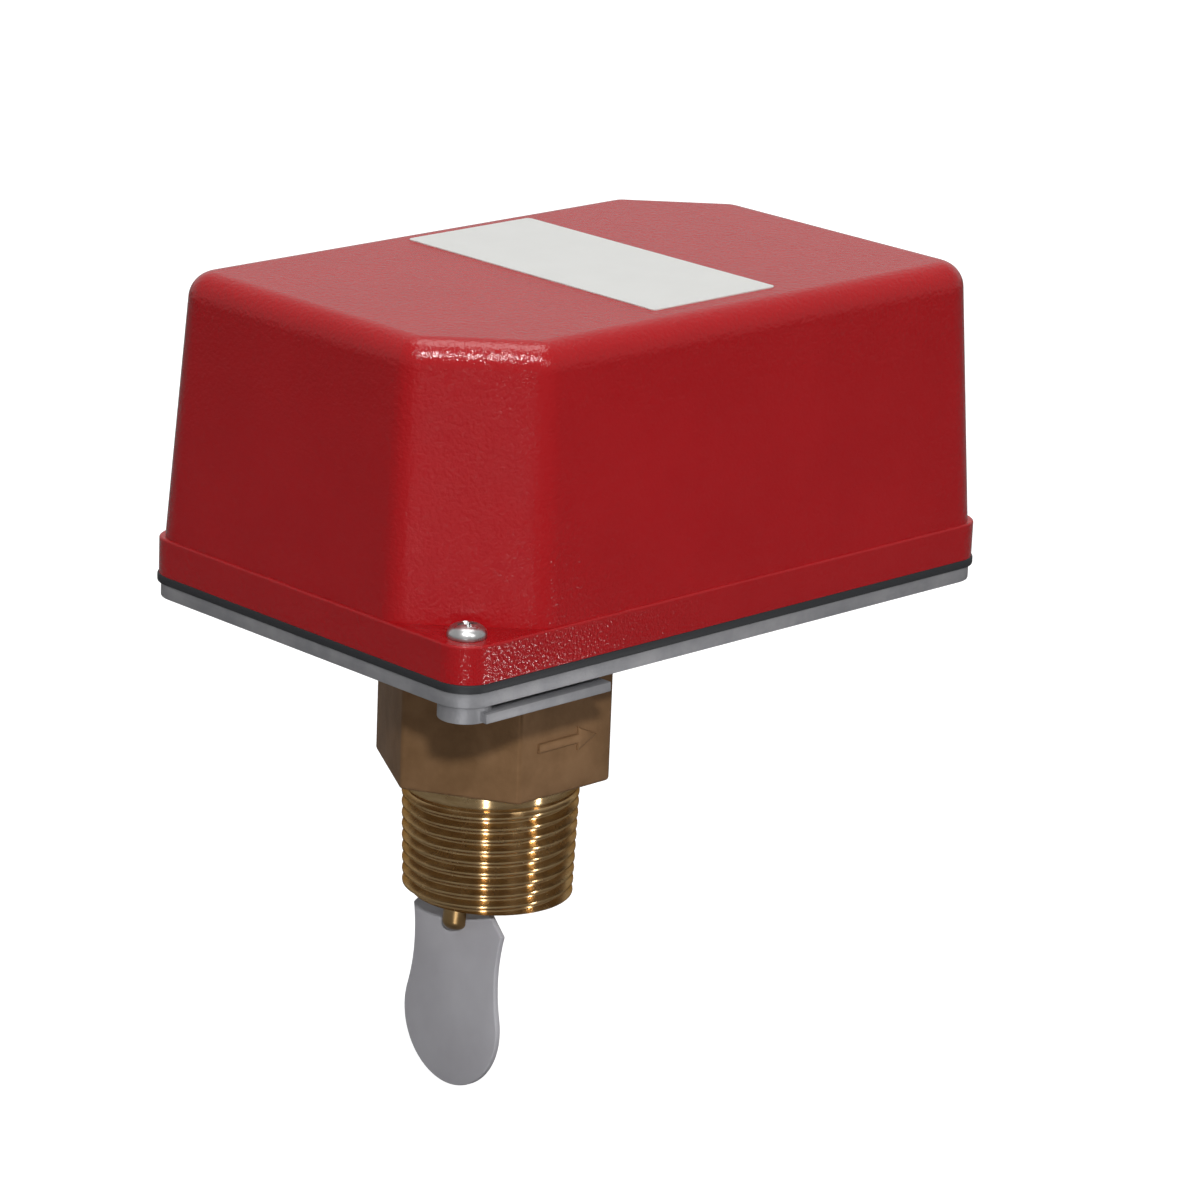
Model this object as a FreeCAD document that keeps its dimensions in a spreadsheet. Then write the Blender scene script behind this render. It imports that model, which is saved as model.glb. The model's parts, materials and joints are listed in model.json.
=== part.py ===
import FreeCAD, Part
import math
import os

import Sketcher
from FreeCAD import Placement, Rotation, Vector

# A screw-in paddle flow switch, in millimetres.  The origin is on the pipe thread's axis,
# at the hexagon's lower shoulder.  +X is the direction of flow, +Z points up, away from the pipe.

doc = FreeCAD.newDocument("PaddleFlowSwitch")
sheet = doc.addObject("Spreadsheet::Sheet", "Dimensions")

DRIVING_DIMENSIONS = {
    # housing outline and levels
    "box_center_x": 18.8, "box_length": 134.0, "box_width": 87.2, "corner_round": 6.0,
    "base_under_z": 28.6, "base_top_z": 34.6, "cover_low_z": 36.2, "ledge_z": 43.2, "cover_top_z": 93.2,
    # die-cast base
    "base_inset": 0.3, "flange_thick": 2.8, "groove_high": 1.4, "groove_deep": 5.0, "lip_wide": 6.0, "lip_long": 30.0,
    "boss_round": 4.8, "hub_round": 24.5, "rib_wide": 3.0, "rib_reach": 33.0,
    "stem_hole": 10.0, "seal_seat": 15.1, "seal_seat_deep": 1.2,
    "entry_x": 62.0, "entry_y": 19.0, "entry_round": 11.1, "entry_ring": 14.5,
    "knockout_thick": 2.0, "score_in": 0.4, "score_wide": 0.6, "score_web": 0.6,
    # cover shell
    "wall_inset": 0.5, "wall_thick": 2.3, "wall_draft": 3.2, "corner_cut": 19.2, "edge_soft": 5.0,
    "side_round": 7.0, "cut_round": 6.0, "rim_soft": 0.45,
    "cover_screw_in": 6.0, "cover_screw_hole": 2.1, "cover_screw_long": 13.0,
    "gasket_proud": 0.2, "gasket_wide": 6.0, "gasket_cut": 17.0,
    "label_x": 21.2, "label_y": 1.0, "label_long": 66.0, "label_wide": 31.0, "label_thick": 0.2,
    # pipe bushing
    "hex_flats": 39.7, "hex_top_z": 27.6, "hex_soft": 0.8, "thread_long": 24.2, "thread_round": 16.7,
    "runout_long": 5.0, "thread_taper": 32.0, "thread_soft": 0.8, "bushing_bore": 12.5,
    "bushing_screw_circle": 17.6, "bushing_screw_hole": 1.9, "bushing_tap": 1.75, "bushing_tap_deep": 11.0,
    # pivot and swinging arm
    "pivot_z": 40.0, "rest_lean": 6.5, "pin_round": 1.5, "pin_play": 0.03,
    "bracket_round": 21.0, "bracket_thick": 1.6, "bracket_hole": 8.0, "ear_inner": 7.0, "ear_thick": 1.6,
    "block_half_x": 4.0, "block_half_y": 4.5, "block_low": 6.0, "block_high": 5.0,
    "stem_round": 2.5, "stem_long": 71.25, "stem_socket": 3.2,
    "lever_thick": 1.5, "lever_narrow": 5.8, "lever_broad": 12.0, "lever_high": 34.0,
    "lever_foot": 0.3, "lever_step_low": 8.0, "lever_step_high": 16.0, "lever_screw_high": 2.9,
    "paddle_thick": 1.2, "paddle_hang": 3.0, "paddle_face_x": -7.67, "paddle_face_z": -30.8,
    # heights on the paddle, from the stem's tip up
    "paddle_top": 5.6, "paddle_neck": 8.2, "shoulder_high": 1.6, "waist_center_y": 45.0,
    "waist_center_high": -6.2, "blade_high": -18.2, "blade_round": 12.9, "paddle_screw_high": 2.8,
    "paddle_screw_hole": 1.4,
    # return spring
    "spring_wire": 0.34, "spring_turn": 3.0, "spring_coil_wide": 2.2,
    # stem seal
    "seal_round": 15.0, "seal_thick": 1.2, "seal_hub": 5.0, "seal_hub_top_z": 33.2, "seal_hub_low_z": 29.6,
    # snap switches, buttons and terminals
    "switch_x": 9.0, "switch_deep": 24.0, "switch_wide": 17.4, "switch_low_z": 39.5, "switch_tall": 46.0,
    "card_thick": 1.0, "card_margin": 2.0,
    "button_z": 52.0, "button_round": 2.5, "button_tip_x": -2.3, "button_long": 10.0, "button_fit": 0.05,
    "barrel_long": 6.0, "barrel_round": 4.5,
    "terminal_thick": 1.2, "terminal_wide": 11.0, "terminal_tall": 8.5,
    "switch_bracket_thick": 1.6, "switch_bracket_x": 12.0, "switch_bracket_long": 20.0,
    "switch_bracket_top_z": 84.0, "switch_foot_y": 34.5,
    # delay unit
    "delay_front_x": -18.0, "delay_long": 24.0, "delay_z": 66.0, "delay_round": 12.0,
    "delay_foot_x": -41.0, "delay_foot_long": 18.0, "delay_foot_half_y": 20.0, "delay_foot_thick": 3.0,
    "pedestal_x": -39.0, "pedestal_long": 15.0, "pedestal_half_y": 8.0,
    "rod_round": 2.0, "rod_fit": 0.05, "rod_tip_x": -2.75, "rod_long": 23.25, "rod_bore_deep": 17.0,
    "rod_head_round": 3.5, "rod_head_long": 2.4,
    "dial_x": -31.0, "dial_boss_round": 9.0, "dial_seat_z": 79.5, "dial_gap": 0.2,
    "dial_round": 7.5, "dial_tall": 4.5, "dial_post": 2.5, "dial_post_long": 5.0,
}

for row, (alias, number) in enumerate(DRIVING_DIMENSIONS.items(), start=1):
    sheet.set("A%d" % row, alias)
    sheet.set("B%d" % row, str(number))
    sheet.setAlias("B%d" % row, alias)
doc.recompute()


class Size:
    """A length or angle with the spreadsheet formula that gives it."""

    def __init__(self, value, formula=None):
        self.value = float(value)
        self.formula = formula or repr(float(value))

    def __add__(self, other):
        other = as_size(other)
        return Size(self.value + other.value, "(%s + %s)" % (self.formula, other.formula))

    def __sub__(self, other):
        other = as_size(other)
        return Size(self.value - other.value, "(%s - %s)" % (self.formula, other.formula))

    def __mul__(self, other):
        other = as_size(other)
        return Size(self.value * other.value, "(%s * %s)" % (self.formula, other.formula))

    def __truediv__(self, other):
        other = as_size(other)
        return Size(self.value / other.value, "(%s / %s)" % (self.formula, other.formula))

    def __neg__(self):
        return Size(-self.value, "(-1 * %s)" % self.formula)


def as_size(number):
    return number if isinstance(number, Size) else Size(number)


def dim(alias):
    return Size(DRIVING_DIMENSIONS[alias], "Dimensions." + alias)


ZERO = Size(0)
half_length = dim("box_length") / 2
half_width = dim("box_width") / 2
cover_screw_x = half_length - dim("cover_screw_in")
cover_screw_y = half_width - dim("cover_screw_in")


# ---------------------------------------------------------------- document helpers

def bind(thing, name, size):
    """Drive a property from the sheet."""
    size = as_size(size)
    thing.setExpression(name, size.formula)


def place(thing, x=ZERO, y=ZERO, z=ZERO, axis=None, angle=0.0):
    """Put a primitive at a point worked out from the sheet, turned about an axis if one is given."""
    turn = Rotation(Vector(*axis), angle) if axis else Rotation()
    x, y, z = as_size(x), as_size(y), as_size(z)
    thing.Placement = Placement(Vector(x.value, y.value, z.value), turn)
    for name, size in (("x", x), ("y", y), ("z", z)):
        if "Dimensions" in size.formula:
            bind(thing, "Placement.Base." + name, size)
    return thing


def cylinder(name, radius, height, x=ZERO, y=ZERO, z=ZERO, axis=None, angle=0.0):
    solid = doc.addObject("Part::Cylinder", name)
    bind(solid, "Radius", radius)
    bind(solid, "Height", height)
    return place(solid, x, y, z, axis, angle)


def box(name, length, width, height, x=ZERO, y=ZERO, z=ZERO):
    solid = doc.addObject("Part::Box", name)
    bind(solid, "Length", length)
    bind(solid, "Width", width)
    bind(solid, "Height", height)
    return place(solid, x, y, z)


def fuse(name, parts):
    joined = doc.addObject("Part::MultiFuse", name)
    joined.Shapes = parts
    joined.Refine = True
    return joined


def cut(name, base, tool):
    remainder = doc.addObject("Part::Cut", name)
    remainder.Base = base
    remainder.Tool = tool
    return remainder


def group(name, parts):
    together = doc.addObject("Part::Compound", name)
    together.Links = parts
    return together


def soften(name, base, radius, choose):
    """Round the edges of a primitive that the test picks out."""
    doc.recompute()
    rounded = doc.addObject("Part::Fillet", name)
    rounded.Base = base
    rounded.Edges = [(i, radius, radius) for i, edge in enumerate(base.Shape.Edges, start=1) if choose(edge)]
    return rounded


def new_body(label):
    body = doc.addObject("PartDesign::Body", label)
    body.Label = label
    return body


def sketch_on(body, name, role="XY_Plane", level=ZERO):
    """A sketch on one of the body's own origin planes, lifted along its normal."""
    sketch = body.newObject("Sketcher::SketchObject", name)
    plane = [feature for feature in body.Origin.OriginFeatures if feature.Role == role][0]
    sketch.AttachmentSupport = [(plane, "")]
    sketch.MapMode = "FlatFace"
    level = as_size(level)
    sketch.AttachmentOffset = Placement(Vector(0, 0, level.value), Rotation())
    bind(sketch, "AttachmentOffset.Base.z", level)
    return sketch


def pin_down(sketch, geometry, point, x, y):
    """Hold a sketch point at coordinates taken from the sheet."""
    for kind, coordinate in (("DistanceX", as_size(x)), ("DistanceY", as_size(y))):
        held = sketch.addConstraint(Sketcher.Constraint(kind, -1, 1, geometry, point, coordinate.value))
        label = "%s_%d_%d" % (kind, geometry, point)
        sketch.renameConstraint(held, label)
        sketch.setExpression("Constraints." + label, coordinate.formula)


def polygon(sketch, corners):
    """A closed outline of straight lines whose corners come from the sheet."""
    corners = [(as_size(x), as_size(y)) for x, y in corners]
    first = sketch.GeometryCount
    count = len(corners)
    for i, (x, y) in enumerate(corners):
        end_x, end_y = corners[(i + 1) % count]
        line = Part.LineSegment(Vector(x.value, y.value, 0), Vector(end_x.value, end_y.value, 0))
        sketch.addGeometry(line)
    for i, (x, y) in enumerate(corners):
        sketch.addConstraint(Sketcher.Constraint("Coincident", first + i, 2, first + (i + 1) % count, 1))
        pin_down(sketch, first + i, 1, x, y)


def rectangle(sketch, left, right, low, high):
    polygon(sketch, [(left, low), (right, low), (right, high), (left, high)])


def circle(sketch, x, y, radius):
    x, y, radius = as_size(x), as_size(y), as_size(radius)
    index = sketch.addGeometry(Part.Circle(Vector(x.value, y.value, 0), Vector(0, 0, 1), radius.value))
    pin_down(sketch, index, 3, x, y)
    held = sketch.addConstraint(Sketcher.Constraint("Radius", index, radius.value))
    sketch.renameConstraint(held, "Radius_%d" % index)
    sketch.setExpression("Constraints.Radius_%d" % index, radius.formula)


def pad(body, sketch, length, down=False):
    solid = body.newObject("PartDesign::Pad", sketch.Name + "Pad")
    solid.Profile = (sketch, [""])
    solid.Length = as_size(length).value
    bind(solid, "Length", length)
    solid.Reversed = down
    return solid


def pocket(body, sketch, depth=None, up=False):
    """Cut down from the sketch, or up from it; right through where no depth is given."""
    hollow = body.newObject("PartDesign::Pocket", sketch.Name + "Pocket")
    hollow.Profile = (sketch, [""])
    hollow.Reversed = up
    if depth is None:
        hollow.Type = "ThroughAll"
    else:
        hollow.Length = as_size(depth).value
        bind(hollow, "Length", depth)
    return hollow


def revolve(body, sketch, axis="V_Axis"):
    """Turn a profile once round one of its sketch's axes."""
    solid = body.newObject("PartDesign::Revolution", sketch.Name + "Turned")
    solid.Profile = (sketch, [""])
    solid.ReferenceAxis = (sketch, [axis])
    solid.Angle = 360.0
    return solid


def round_edges(body, feature, radius, choose, kind="Fillet"):
    """Fillet or chamfer the edges of a feature that the test picks out."""
    doc.recompute()
    names = ["Edge%d" % i for i, edge in enumerate(feature.Shape.Edges, start=1) if choose(edge)]
    rounded = body.newObject("PartDesign::" + kind, feature.Name + kind)
    rounded.Base = (feature, names)
    bind(rounded, "Radius" if kind == "Fillet" else "Size", radius)
    body.Tip = rounded
    return rounded


def draft_walls(body, feature, angle, choose, level):
    """Lean the chosen faces inwards as they rise, about the flat face that lies at the level."""
    doc.recompute()
    faces = list(enumerate(feature.Shape.Faces, start=1))
    flat = [i for i, face in faces if face.BoundBox.ZLength < 1e-3 and abs(face.BoundBox.ZMin - level) < 1e-3]
    drafted = body.newObject("PartDesign::Draft", feature.Name + "Draft")
    drafted.Base = (feature, ["Face%d" % i for i, face in faces if choose(face)])
    drafted.NeutralPlane = (feature, ["Face%d" % flat[0]])
    bind(drafted, "Angle", angle)
    body.Tip = drafted
    return drafted


def repeat_round(body, feature, count):
    pattern = body.newObject("PartDesign::PolarPattern", feature.Name + "Pattern")
    pattern.Originals = [feature]
    upright = [thing for thing in body.Origin.OriginFeatures if thing.Role == "Z_Axis"][0]
    pattern.Axis = (upright, [""])
    pattern.Angle = 360.0
    pattern.Occurrences = count
    body.Tip = pattern
    return pattern


# ---------------------------------------------------------------- edge tests

def rise(edge):
    return abs(edge.Vertexes[0].Z - edge.Vertexes[-1].Z)


def straight(edge):
    chord = edge.Vertexes[0].Point.distanceToPoint(edge.Vertexes[-1].Point)
    return abs(chord - edge.Length) < 1e-4


def is_upright(edge, least=0.5):
    return straight(edge) and rise(edge) > least and rise(edge) > 0.97 * edge.Length


def at_level(level):
    return lambda edge: all(abs(point.z - level) < 1e-4 for point in edge.discretize(3))


def is_side_face(face):
    return face.BoundBox.ZLength > 1.0


def is_wall_edge(edge):
    """True for the cover's long edges from the ledge to the top."""
    return straight(edge) and rise(edge) > 40.0


def below_ledge(edge):
    return max(point.Z for point in edge.Vertexes) < DRIVING_DIMENSIONS["ledge_z"] + 0.01


def is_rim_top_edge(edge):
    """True for the rim's outer edge at the ledge, but not for the foot of the walls."""
    middle = edge.discretize(3)[1]
    reach_x = abs(middle.x - DRIVING_DIMENSIONS["box_center_x"]) - half_length.value
    reach_y = abs(middle.y) - half_width.value
    corner = DRIVING_DIMENSIONS["corner_round"]
    if reach_x > -corner + 0.1 and reach_y > -corner + 0.1:
        on_outline = math.hypot(reach_x + corner, reach_y + corner) > corner - 0.01
    else:
        on_outline = max(reach_x, reach_y) > -0.01
    return at_level(DRIVING_DIMENSIONS["ledge_z"])(edge) and on_outline


def is_right_angle_corner(edge):
    """Tell the cover's two full corners from the four edges beside its two cut ones."""
    x = edge.Vertexes[0].X - DRIVING_DIMENSIONS["box_center_x"]
    return x * edge.Vertexes[0].Y < 0


def screw(name, x, y, z, head_round, head_high, shank_round, shank_long, axis=None, angle=0.0):
    """A headed screw: its bearing face at the point, its head above it and its shank below."""
    head = cylinder(name + "Head", head_round, head_high)
    shank = cylinder(name + "Shank", shank_round, shank_long, z=-as_size(shank_long))
    return place(fuse(name, [head, shank]), x, y, z, axis, angle)


# ---------------------------------------------------------------- die-cast base

def make_base_plate():
    body = new_body("base_plate")
    left = dim("box_center_x") - half_length + dim("base_inset")
    right = dim("box_center_x") + half_length - dim("base_inset")
    side = half_width - dim("base_inset")
    under_flange = dim("base_top_z") - dim("flange_thick")
    under_core = under_flange - dim("groove_high")

    outline = sketch_on(body, "FlangeOutline", level=dim("base_top_z"))
    rectangle(outline, left, right, -side, side)
    flange = pad(body, outline, dim("flange_thick"), down=True)
    round_edges(body, flange, dim("corner_round"), is_upright)

    core = sketch_on(body, "CoreOutline", level=under_flange)
    inner = side - dim("groove_deep")
    rectangle(core, left + dim("groove_deep"), right - dim("groove_deep"), -inner, inner)
    pad(body, core, dim("groove_high"), down=True)

    # a short lip on each long side, running inwards from the cover-screw boss
    for sign, name in ((-1, "NearLip"), (1, "FarLip")):
        lip = sketch_on(body, name, level=under_core)
        start = dim("box_center_x") + cover_screw_x * sign
        ends = (start, start - dim("lip_long") * sign)
        sides = (side * sign, (side - dim("lip_wide")) * sign)
        rectangle(lip, *sorted(ends, key=lambda size: size.value), *sorted(sides, key=lambda size: size.value))
        pad(body, lip, under_core - dim("base_under_z"), down=True)

    # hub for the bushing, cross ribs and rings round the conduit entries
    hub = sketch_on(body, "HubOutline", level=under_core)
    circle(hub, ZERO, ZERO, dim("hub_round"))
    pad(body, hub, under_core - dim("base_under_z"), down=True)
    for x, name in ((ZERO, "HubRib"), (dim("box_center_x") + 21.0, "MiddleRib")):
        rib = sketch_on(body, name, level=under_core)
        rectangle(rib, x - dim("rib_wide") / 2, x + dim("rib_wide") / 2, -dim("rib_reach"), dim("rib_reach"))
        pad(body, rib, under_core - dim("base_under_z"), down=True)
    spine = sketch_on(body, "SpineRib", level=under_core)
    rectangle(spine, -dim("rib_reach"), dim("entry_x"), -dim("rib_wide") / 2, dim("rib_wide") / 2)
    pad(body, spine, under_core - dim("base_under_z"), down=True)
    for sign, name in ((-1, "FrontEntryRing"), (1, "BackEntryRing")):
        ring = sketch_on(body, name, level=under_core)
        circle(ring, dim("entry_x"), dim("entry_y") * sign, dim("entry_ring"))
        pad(body, ring, under_core - dim("base_under_z"), down=True)

    # bosses for the two cover screws, at the corners that the cover cuts
    for sign, name in ((-1, "NearBoss"), (1, "FarBoss")):
        boss = sketch_on(body, name, level=under_flange)
        circle(boss, dim("box_center_x") + cover_screw_x * sign, cover_screw_y * sign, dim("boss_round"))
        pad(body, boss, under_flange - dim("base_under_z"), down=True)

    # stem hole and the seat for the seal's rim
    hole = sketch_on(body, "StemHole", level=dim("base_top_z"))
    circle(hole, ZERO, ZERO, dim("stem_hole"))
    pocket(body, hole)
    seat = sketch_on(body, "SealSeat", level=dim("base_top_z"))
    circle(seat, ZERO, ZERO, dim("seal_seat"))
    pocket(body, seat, dim("seal_seat_deep"))

    # three screw holes on a circle, down into the bushing
    through = sketch_on(body, "BushingScrewHole", level=dim("base_top_z"))
    circle(through, -dim("bushing_screw_circle"), ZERO, dim("bushing_screw_hole"))
    repeat_round(body, pocket(body, through), 3)

    # conduit entries: a round recess from below, closed by a scored disc
    for sign, name in ((-1, "FrontEntry"), (1, "BackEntry")):
        recess = sketch_on(body, name, level=dim("base_under_z"))
        circle(recess, dim("entry_x"), dim("entry_y") * sign, dim("entry_round"))
        depth = dim("base_top_z") - dim("knockout_thick") - dim("base_under_z")
        pocket(body, recess, depth, up=True)
        score = sketch_on(body, name + "Score", level=dim("base_top_z") - dim("knockout_thick"))
        circle(score, dim("entry_x"), dim("entry_y") * sign, dim("entry_round") - dim("score_in"))
        circle(score, dim("entry_x"), dim("entry_y") * sign, dim("entry_round") - dim("score_in") - dim("score_wide"))
        pocket(body, score, dim("knockout_thick") - dim("score_web"), up=True)

    # blind screw holes from above: cover screws first, then brackets and earth screw
    blind = sketch_on(body, "CoverScrewHoles", level=dim("base_top_z"))
    for sign in (-1, 1):
        circle(blind, dim("box_center_x") + cover_screw_x * sign, cover_screw_y * sign, 1.75)
    pocket(body, blind, 5.2)
    small = sketch_on(body, "BracketScrewHoles", level=dim("base_top_z"))
    for x, y, radius in BASE_SCREWS:
        circle(small, x, y, radius)
    pocket(body, small, 3.6)
    return body


SWITCH_FOOT_SCREWS = [(17.0, 29.0), (29.0, 29.0)]
DELAY_FOOT_SCREWS = [(-34.0, -15.0), (-34.0, 15.0)]
EARTH_SCREW = (74.0, -29.0)
BASE_SCREWS = [(x, y, 1.55) for x, y in SWITCH_FOOT_SCREWS + DELAY_FOOT_SCREWS] + [EARTH_SCREW + (2.05,)]


# ---------------------------------------------------------------- cover shell and its parts

# how much shorter a 45-degree cut gets on each side when its outline moves in by one
MITRE = 2 - math.sqrt(2)


def cut_corner_outline(sketch, reach_x, reach_y, leg):
    """A rectangle with the front-left and back-right corners cut off at 45 degrees."""
    mid = dim("box_center_x")
    polygon(sketch, [
        (mid - reach_x + leg, -reach_y), (mid + reach_x, -reach_y),
        (mid + reach_x, reach_y - leg), (mid + reach_x - leg, reach_y),
        (mid - reach_x, reach_y), (mid - reach_x, -reach_y + leg),
    ])


def drafted_block(body, name, reach_x, reach_y, leg, low, high, soft):
    """A block with two corners cut, walls that lean in as they rise, and its upper edges rounded."""
    outline = sketch_on(body, name, level=low)
    cut_corner_outline(outline, reach_x, reach_y, leg)
    block = pad(body, outline, high - low)
    walls = draft_walls(body, block, dim("wall_draft"), is_side_face, low.value)
    square = round_edges(body, walls, soft["square"],
                         lambda edge: is_wall_edge(edge) and is_right_angle_corner(edge))
    blunt = round_edges(body, square, soft["blunt"],
                        lambda edge: is_wall_edge(edge) and not is_right_angle_corner(edge))
    return round_edges(body, blunt, soft["top"], at_level(high.value))


def make_cover():
    mid, thick = dim("box_center_x"), dim("wall_thick")
    outer_x = half_length - dim("wall_inset")
    outer_y = half_width - dim("wall_inset")

    shell = new_body("CoverShell")
    drafted_block(shell, "WallOutline", outer_x, outer_y, dim("corner_cut"), dim("ledge_z"), dim("cover_top_z"),
                  {"square": dim("side_round"), "blunt": dim("cut_round"), "top": dim("edge_soft")})
    rim = sketch_on(shell, "RimOutline", level=dim("ledge_z"))
    rectangle(rim, mid - half_length, mid + half_length, -half_width, half_width)
    rim_pad = pad(shell, rim, dim("ledge_z") - dim("cover_low_z"), down=True)
    rounded = round_edges(shell, rim_pad, dim("corner_round"),
                          lambda edge: is_upright(edge) and below_ledge(edge))
    round_edges(shell, rounded, dim("rim_soft"), is_rim_top_edge)
    holes = sketch_on(shell, "CoverScrewClearance", level=dim("ledge_z"))
    for sign in (-1, 1):
        circle(holes, mid + cover_screw_x * sign, cover_screw_y * sign, dim("cover_screw_hole"))
    pocket(shell, holes, dim("ledge_z") - dim("cover_low_z") + 1.0)

    # the hollow follows the walls, one thickness in
    slope = Size(math.tan(math.radians(DRIVING_DIMENSIONS["wall_draft"])), "tan(Dimensions.wall_draft * 1 deg)")
    grow = (dim("ledge_z") - dim("cover_low_z")) * slope
    leg = dim("corner_cut") - (thick - grow) * MITRE
    core = new_body("CoverCore")
    drafted_block(core, "HollowOutline", outer_x - thick + grow, outer_y - thick + grow, leg,
                  dim("cover_low_z"), dim("cover_top_z") - thick,
                  {"square": dim("side_round") - thick, "blunt": dim("cut_round") - thick,
                   "top": dim("edge_soft") - thick})
    return cut("cover", shell, core)


def make_cover_gasket():
    body = new_body("cover_gasket")
    mid = dim("box_center_x")
    proud = dim("gasket_proud")
    outline = sketch_on(body, "GasketOutline", level=dim("base_top_z"))
    rectangle(outline, mid - half_length - proud, mid + half_length + proud,
              -half_width - proud, half_width + proud)
    ring = pad(body, outline, dim("cover_low_z") - dim("base_top_z"))
    round_edges(body, ring, dim("corner_round"), is_upright)
    window = sketch_on(body, "GasketWindow", level=dim("cover_low_z"))
    cut_corner_outline(window, half_length - dim("gasket_wide"), half_width - dim("gasket_wide"),
                       dim("gasket_cut") - dim("gasket_wide") * MITRE)
    pocket(body, window)
    holes = sketch_on(body, "GasketScrewHoles", level=dim("cover_low_z"))
    for sign in (-1, 1):
        circle(holes, mid + cover_screw_x * sign, cover_screw_y * sign, dim("cover_screw_hole"))
    pocket(body, holes)
    return body


def make_cover_screws():
    """The two pan-head screws on the ledge, each turned about its own axis."""
    screws = []
    for sign, name in ((-1, "NearCoverScrew"), (1, "FarCoverScrew")):
        body = new_body(name)
        profile = sketch_on(body, name + "Profile", role="XZ_Plane")
        polygon(profile, [
            (ZERO, 2.4), (2.2, 2.2), (3.3, 1.5), (3.6, 0.6), (3.6, ZERO), (1.7, ZERO),
            (1.7, -dim("cover_screw_long") + 0.5), (1.2, -dim("cover_screw_long")), (ZERO, -dim("cover_screw_long")),
        ])
        revolve(body, profile)
        bind(body, "Placement.Base.x", dim("box_center_x") + cover_screw_x * sign)
        bind(body, "Placement.Base.y", cover_screw_y * sign)
        bind(body, "Placement.Base.z", dim("ledge_z"))
        screws.append(body)
    return group("cover_screws", screws)


def make_label_plate():
    body = new_body("label_plate")
    outline = sketch_on(body, "LabelOutline", level=dim("cover_top_z"))
    rectangle(outline, dim("label_x") - dim("label_wide") / 2, dim("label_x") + dim("label_wide") / 2,
              dim("label_y") - dim("label_long") / 2, dim("label_y") + dim("label_long") / 2)
    sheet_metal = pad(body, outline, dim("label_thick"))
    round_edges(body, sheet_metal, 1.0, lambda edge: is_upright(edge, 0.1))
    return body


# ---------------------------------------------------------------- pipe bushing and its gasket

def make_pipe_bushing():
    body = new_body("pipe_bushing")
    corner = dim("hex_flats") / math.sqrt(3)
    hexagon = sketch_on(body, "Hexagon")
    points = [(corner * math.cos(math.radians(60 * i)), corner * math.sin(math.radians(60 * i)))
              for i in range(6)]
    polygon(hexagon, points)
    nut = pad(body, hexagon, dim("hex_top_z"))
    round_edges(body, nut, dim("hex_soft"),
                lambda edge: at_level(0.0)(edge) or is_upright(edge))

    nipple = sketch_on(body, "NippleProfile", role="XZ_Plane")
    low_round = dim("thread_round") - (dim("thread_long") - dim("runout_long")) / dim("thread_taper")
    soft = dim("thread_soft")
    polygon(nipple, [
        (ZERO, dim("hex_soft") * 2), (dim("thread_round"), dim("hex_soft") * 2),
        (dim("thread_round"), -dim("runout_long")), (low_round, -dim("thread_long") + soft),
        (low_round - soft, -dim("thread_long")), (ZERO, -dim("thread_long")),
    ])
    revolve(body, nipple)

    bore = sketch_on(body, "Bore", level=dim("hex_top_z"))
    circle(bore, ZERO, ZERO, dim("bushing_bore"))
    pocket(body, bore)
    tapped = sketch_on(body, "TappedHole", level=dim("hex_top_z"))
    circle(tapped, -dim("bushing_screw_circle"), ZERO, dim("bushing_tap"))
    repeat_round(body, pocket(body, tapped, dim("bushing_tap_deep")), 3)
    return body


def make_bushing_gasket():
    body = new_body("bushing_gasket")
    ring = sketch_on(body, "RingOutline", level=dim("hex_top_z"))
    circle(ring, ZERO, ZERO, dim("hex_flats") / 2 - 0.2)
    circle(ring, ZERO, ZERO, dim("bushing_bore") + 0.3)
    pad(body, ring, dim("base_under_z") - dim("hex_top_z"))
    hole = sketch_on(body, "RingScrewHole", level=dim("base_under_z"))
    circle(hole, -dim("bushing_screw_circle"), ZERO, dim("bushing_screw_hole"))
    repeat_round(body, pocket(body, hole), 3)
    return body


# ---------------------------------------------------------------- swinging arm, drawn about its pivot

def lean(body):
    """Hang a piece of the arm from the pivot, leaning upstream as it rests."""
    body.Placement = Placement(Vector(0, 0, 0), Rotation(Vector(0, 1, 0), DRIVING_DIMENSIONS["rest_lean"]))
    bind(body, "Placement.Base.z", dim("pivot_z"))
    body.setExpression("Placement.Rotation.Angle", "Dimensions.rest_lean * 1 deg")
    return body


def hang_paddle(body):
    """Set a piece drawn about the paddle's upstream face upright, with the paddle's small lean."""
    angle = DRIVING_DIMENSIONS["paddle_hang"]
    body.Placement = Placement(Vector(0, 0, 0), Rotation(Vector(0, 1, 0), angle))
    bind(body, "Placement.Base.x", dim("paddle_face_x"))
    bind(body, "Placement.Base.z", dim("paddle_face_z"))
    body.setExpression("Placement.Rotation.Angle", "Dimensions.paddle_hang * 1 deg")
    return body


def make_pivot_block():
    body = new_body("pivot_block")
    outline = sketch_on(body, "BlockOutline", level=-dim("block_low"))
    rectangle(outline, -dim("block_half_x"), dim("block_half_x"), -dim("block_half_y"), dim("block_half_y"))
    solid = pad(body, outline, dim("block_low") + dim("block_high"))
    round_edges(body, solid, 0.6, is_upright)
    cross = sketch_on(body, "PinBore", role="XZ_Plane", level=dim("block_half_y"))
    circle(cross, ZERO, ZERO, dim("pin_round") + dim("pin_play"))
    pocket(body, cross)
    socket = sketch_on(body, "StemSocket", level=-dim("block_low"))
    circle(socket, ZERO, ZERO, dim("stem_round"))
    pocket(body, socket, dim("stem_socket"), up=True)
    tapped = sketch_on(body, "LeverScrewHoles", role="YZ_Plane", level=-dim("block_half_x"))
    for y in LEVER_SCREWS_Y:
        circle(tapped, y, dim("lever_screw_high"), 0.85)
    pocket(body, tapped, 2.6, up=True)
    return lean(body)


LEVER_SCREWS_Y = (-2.8, 2.8)


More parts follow.
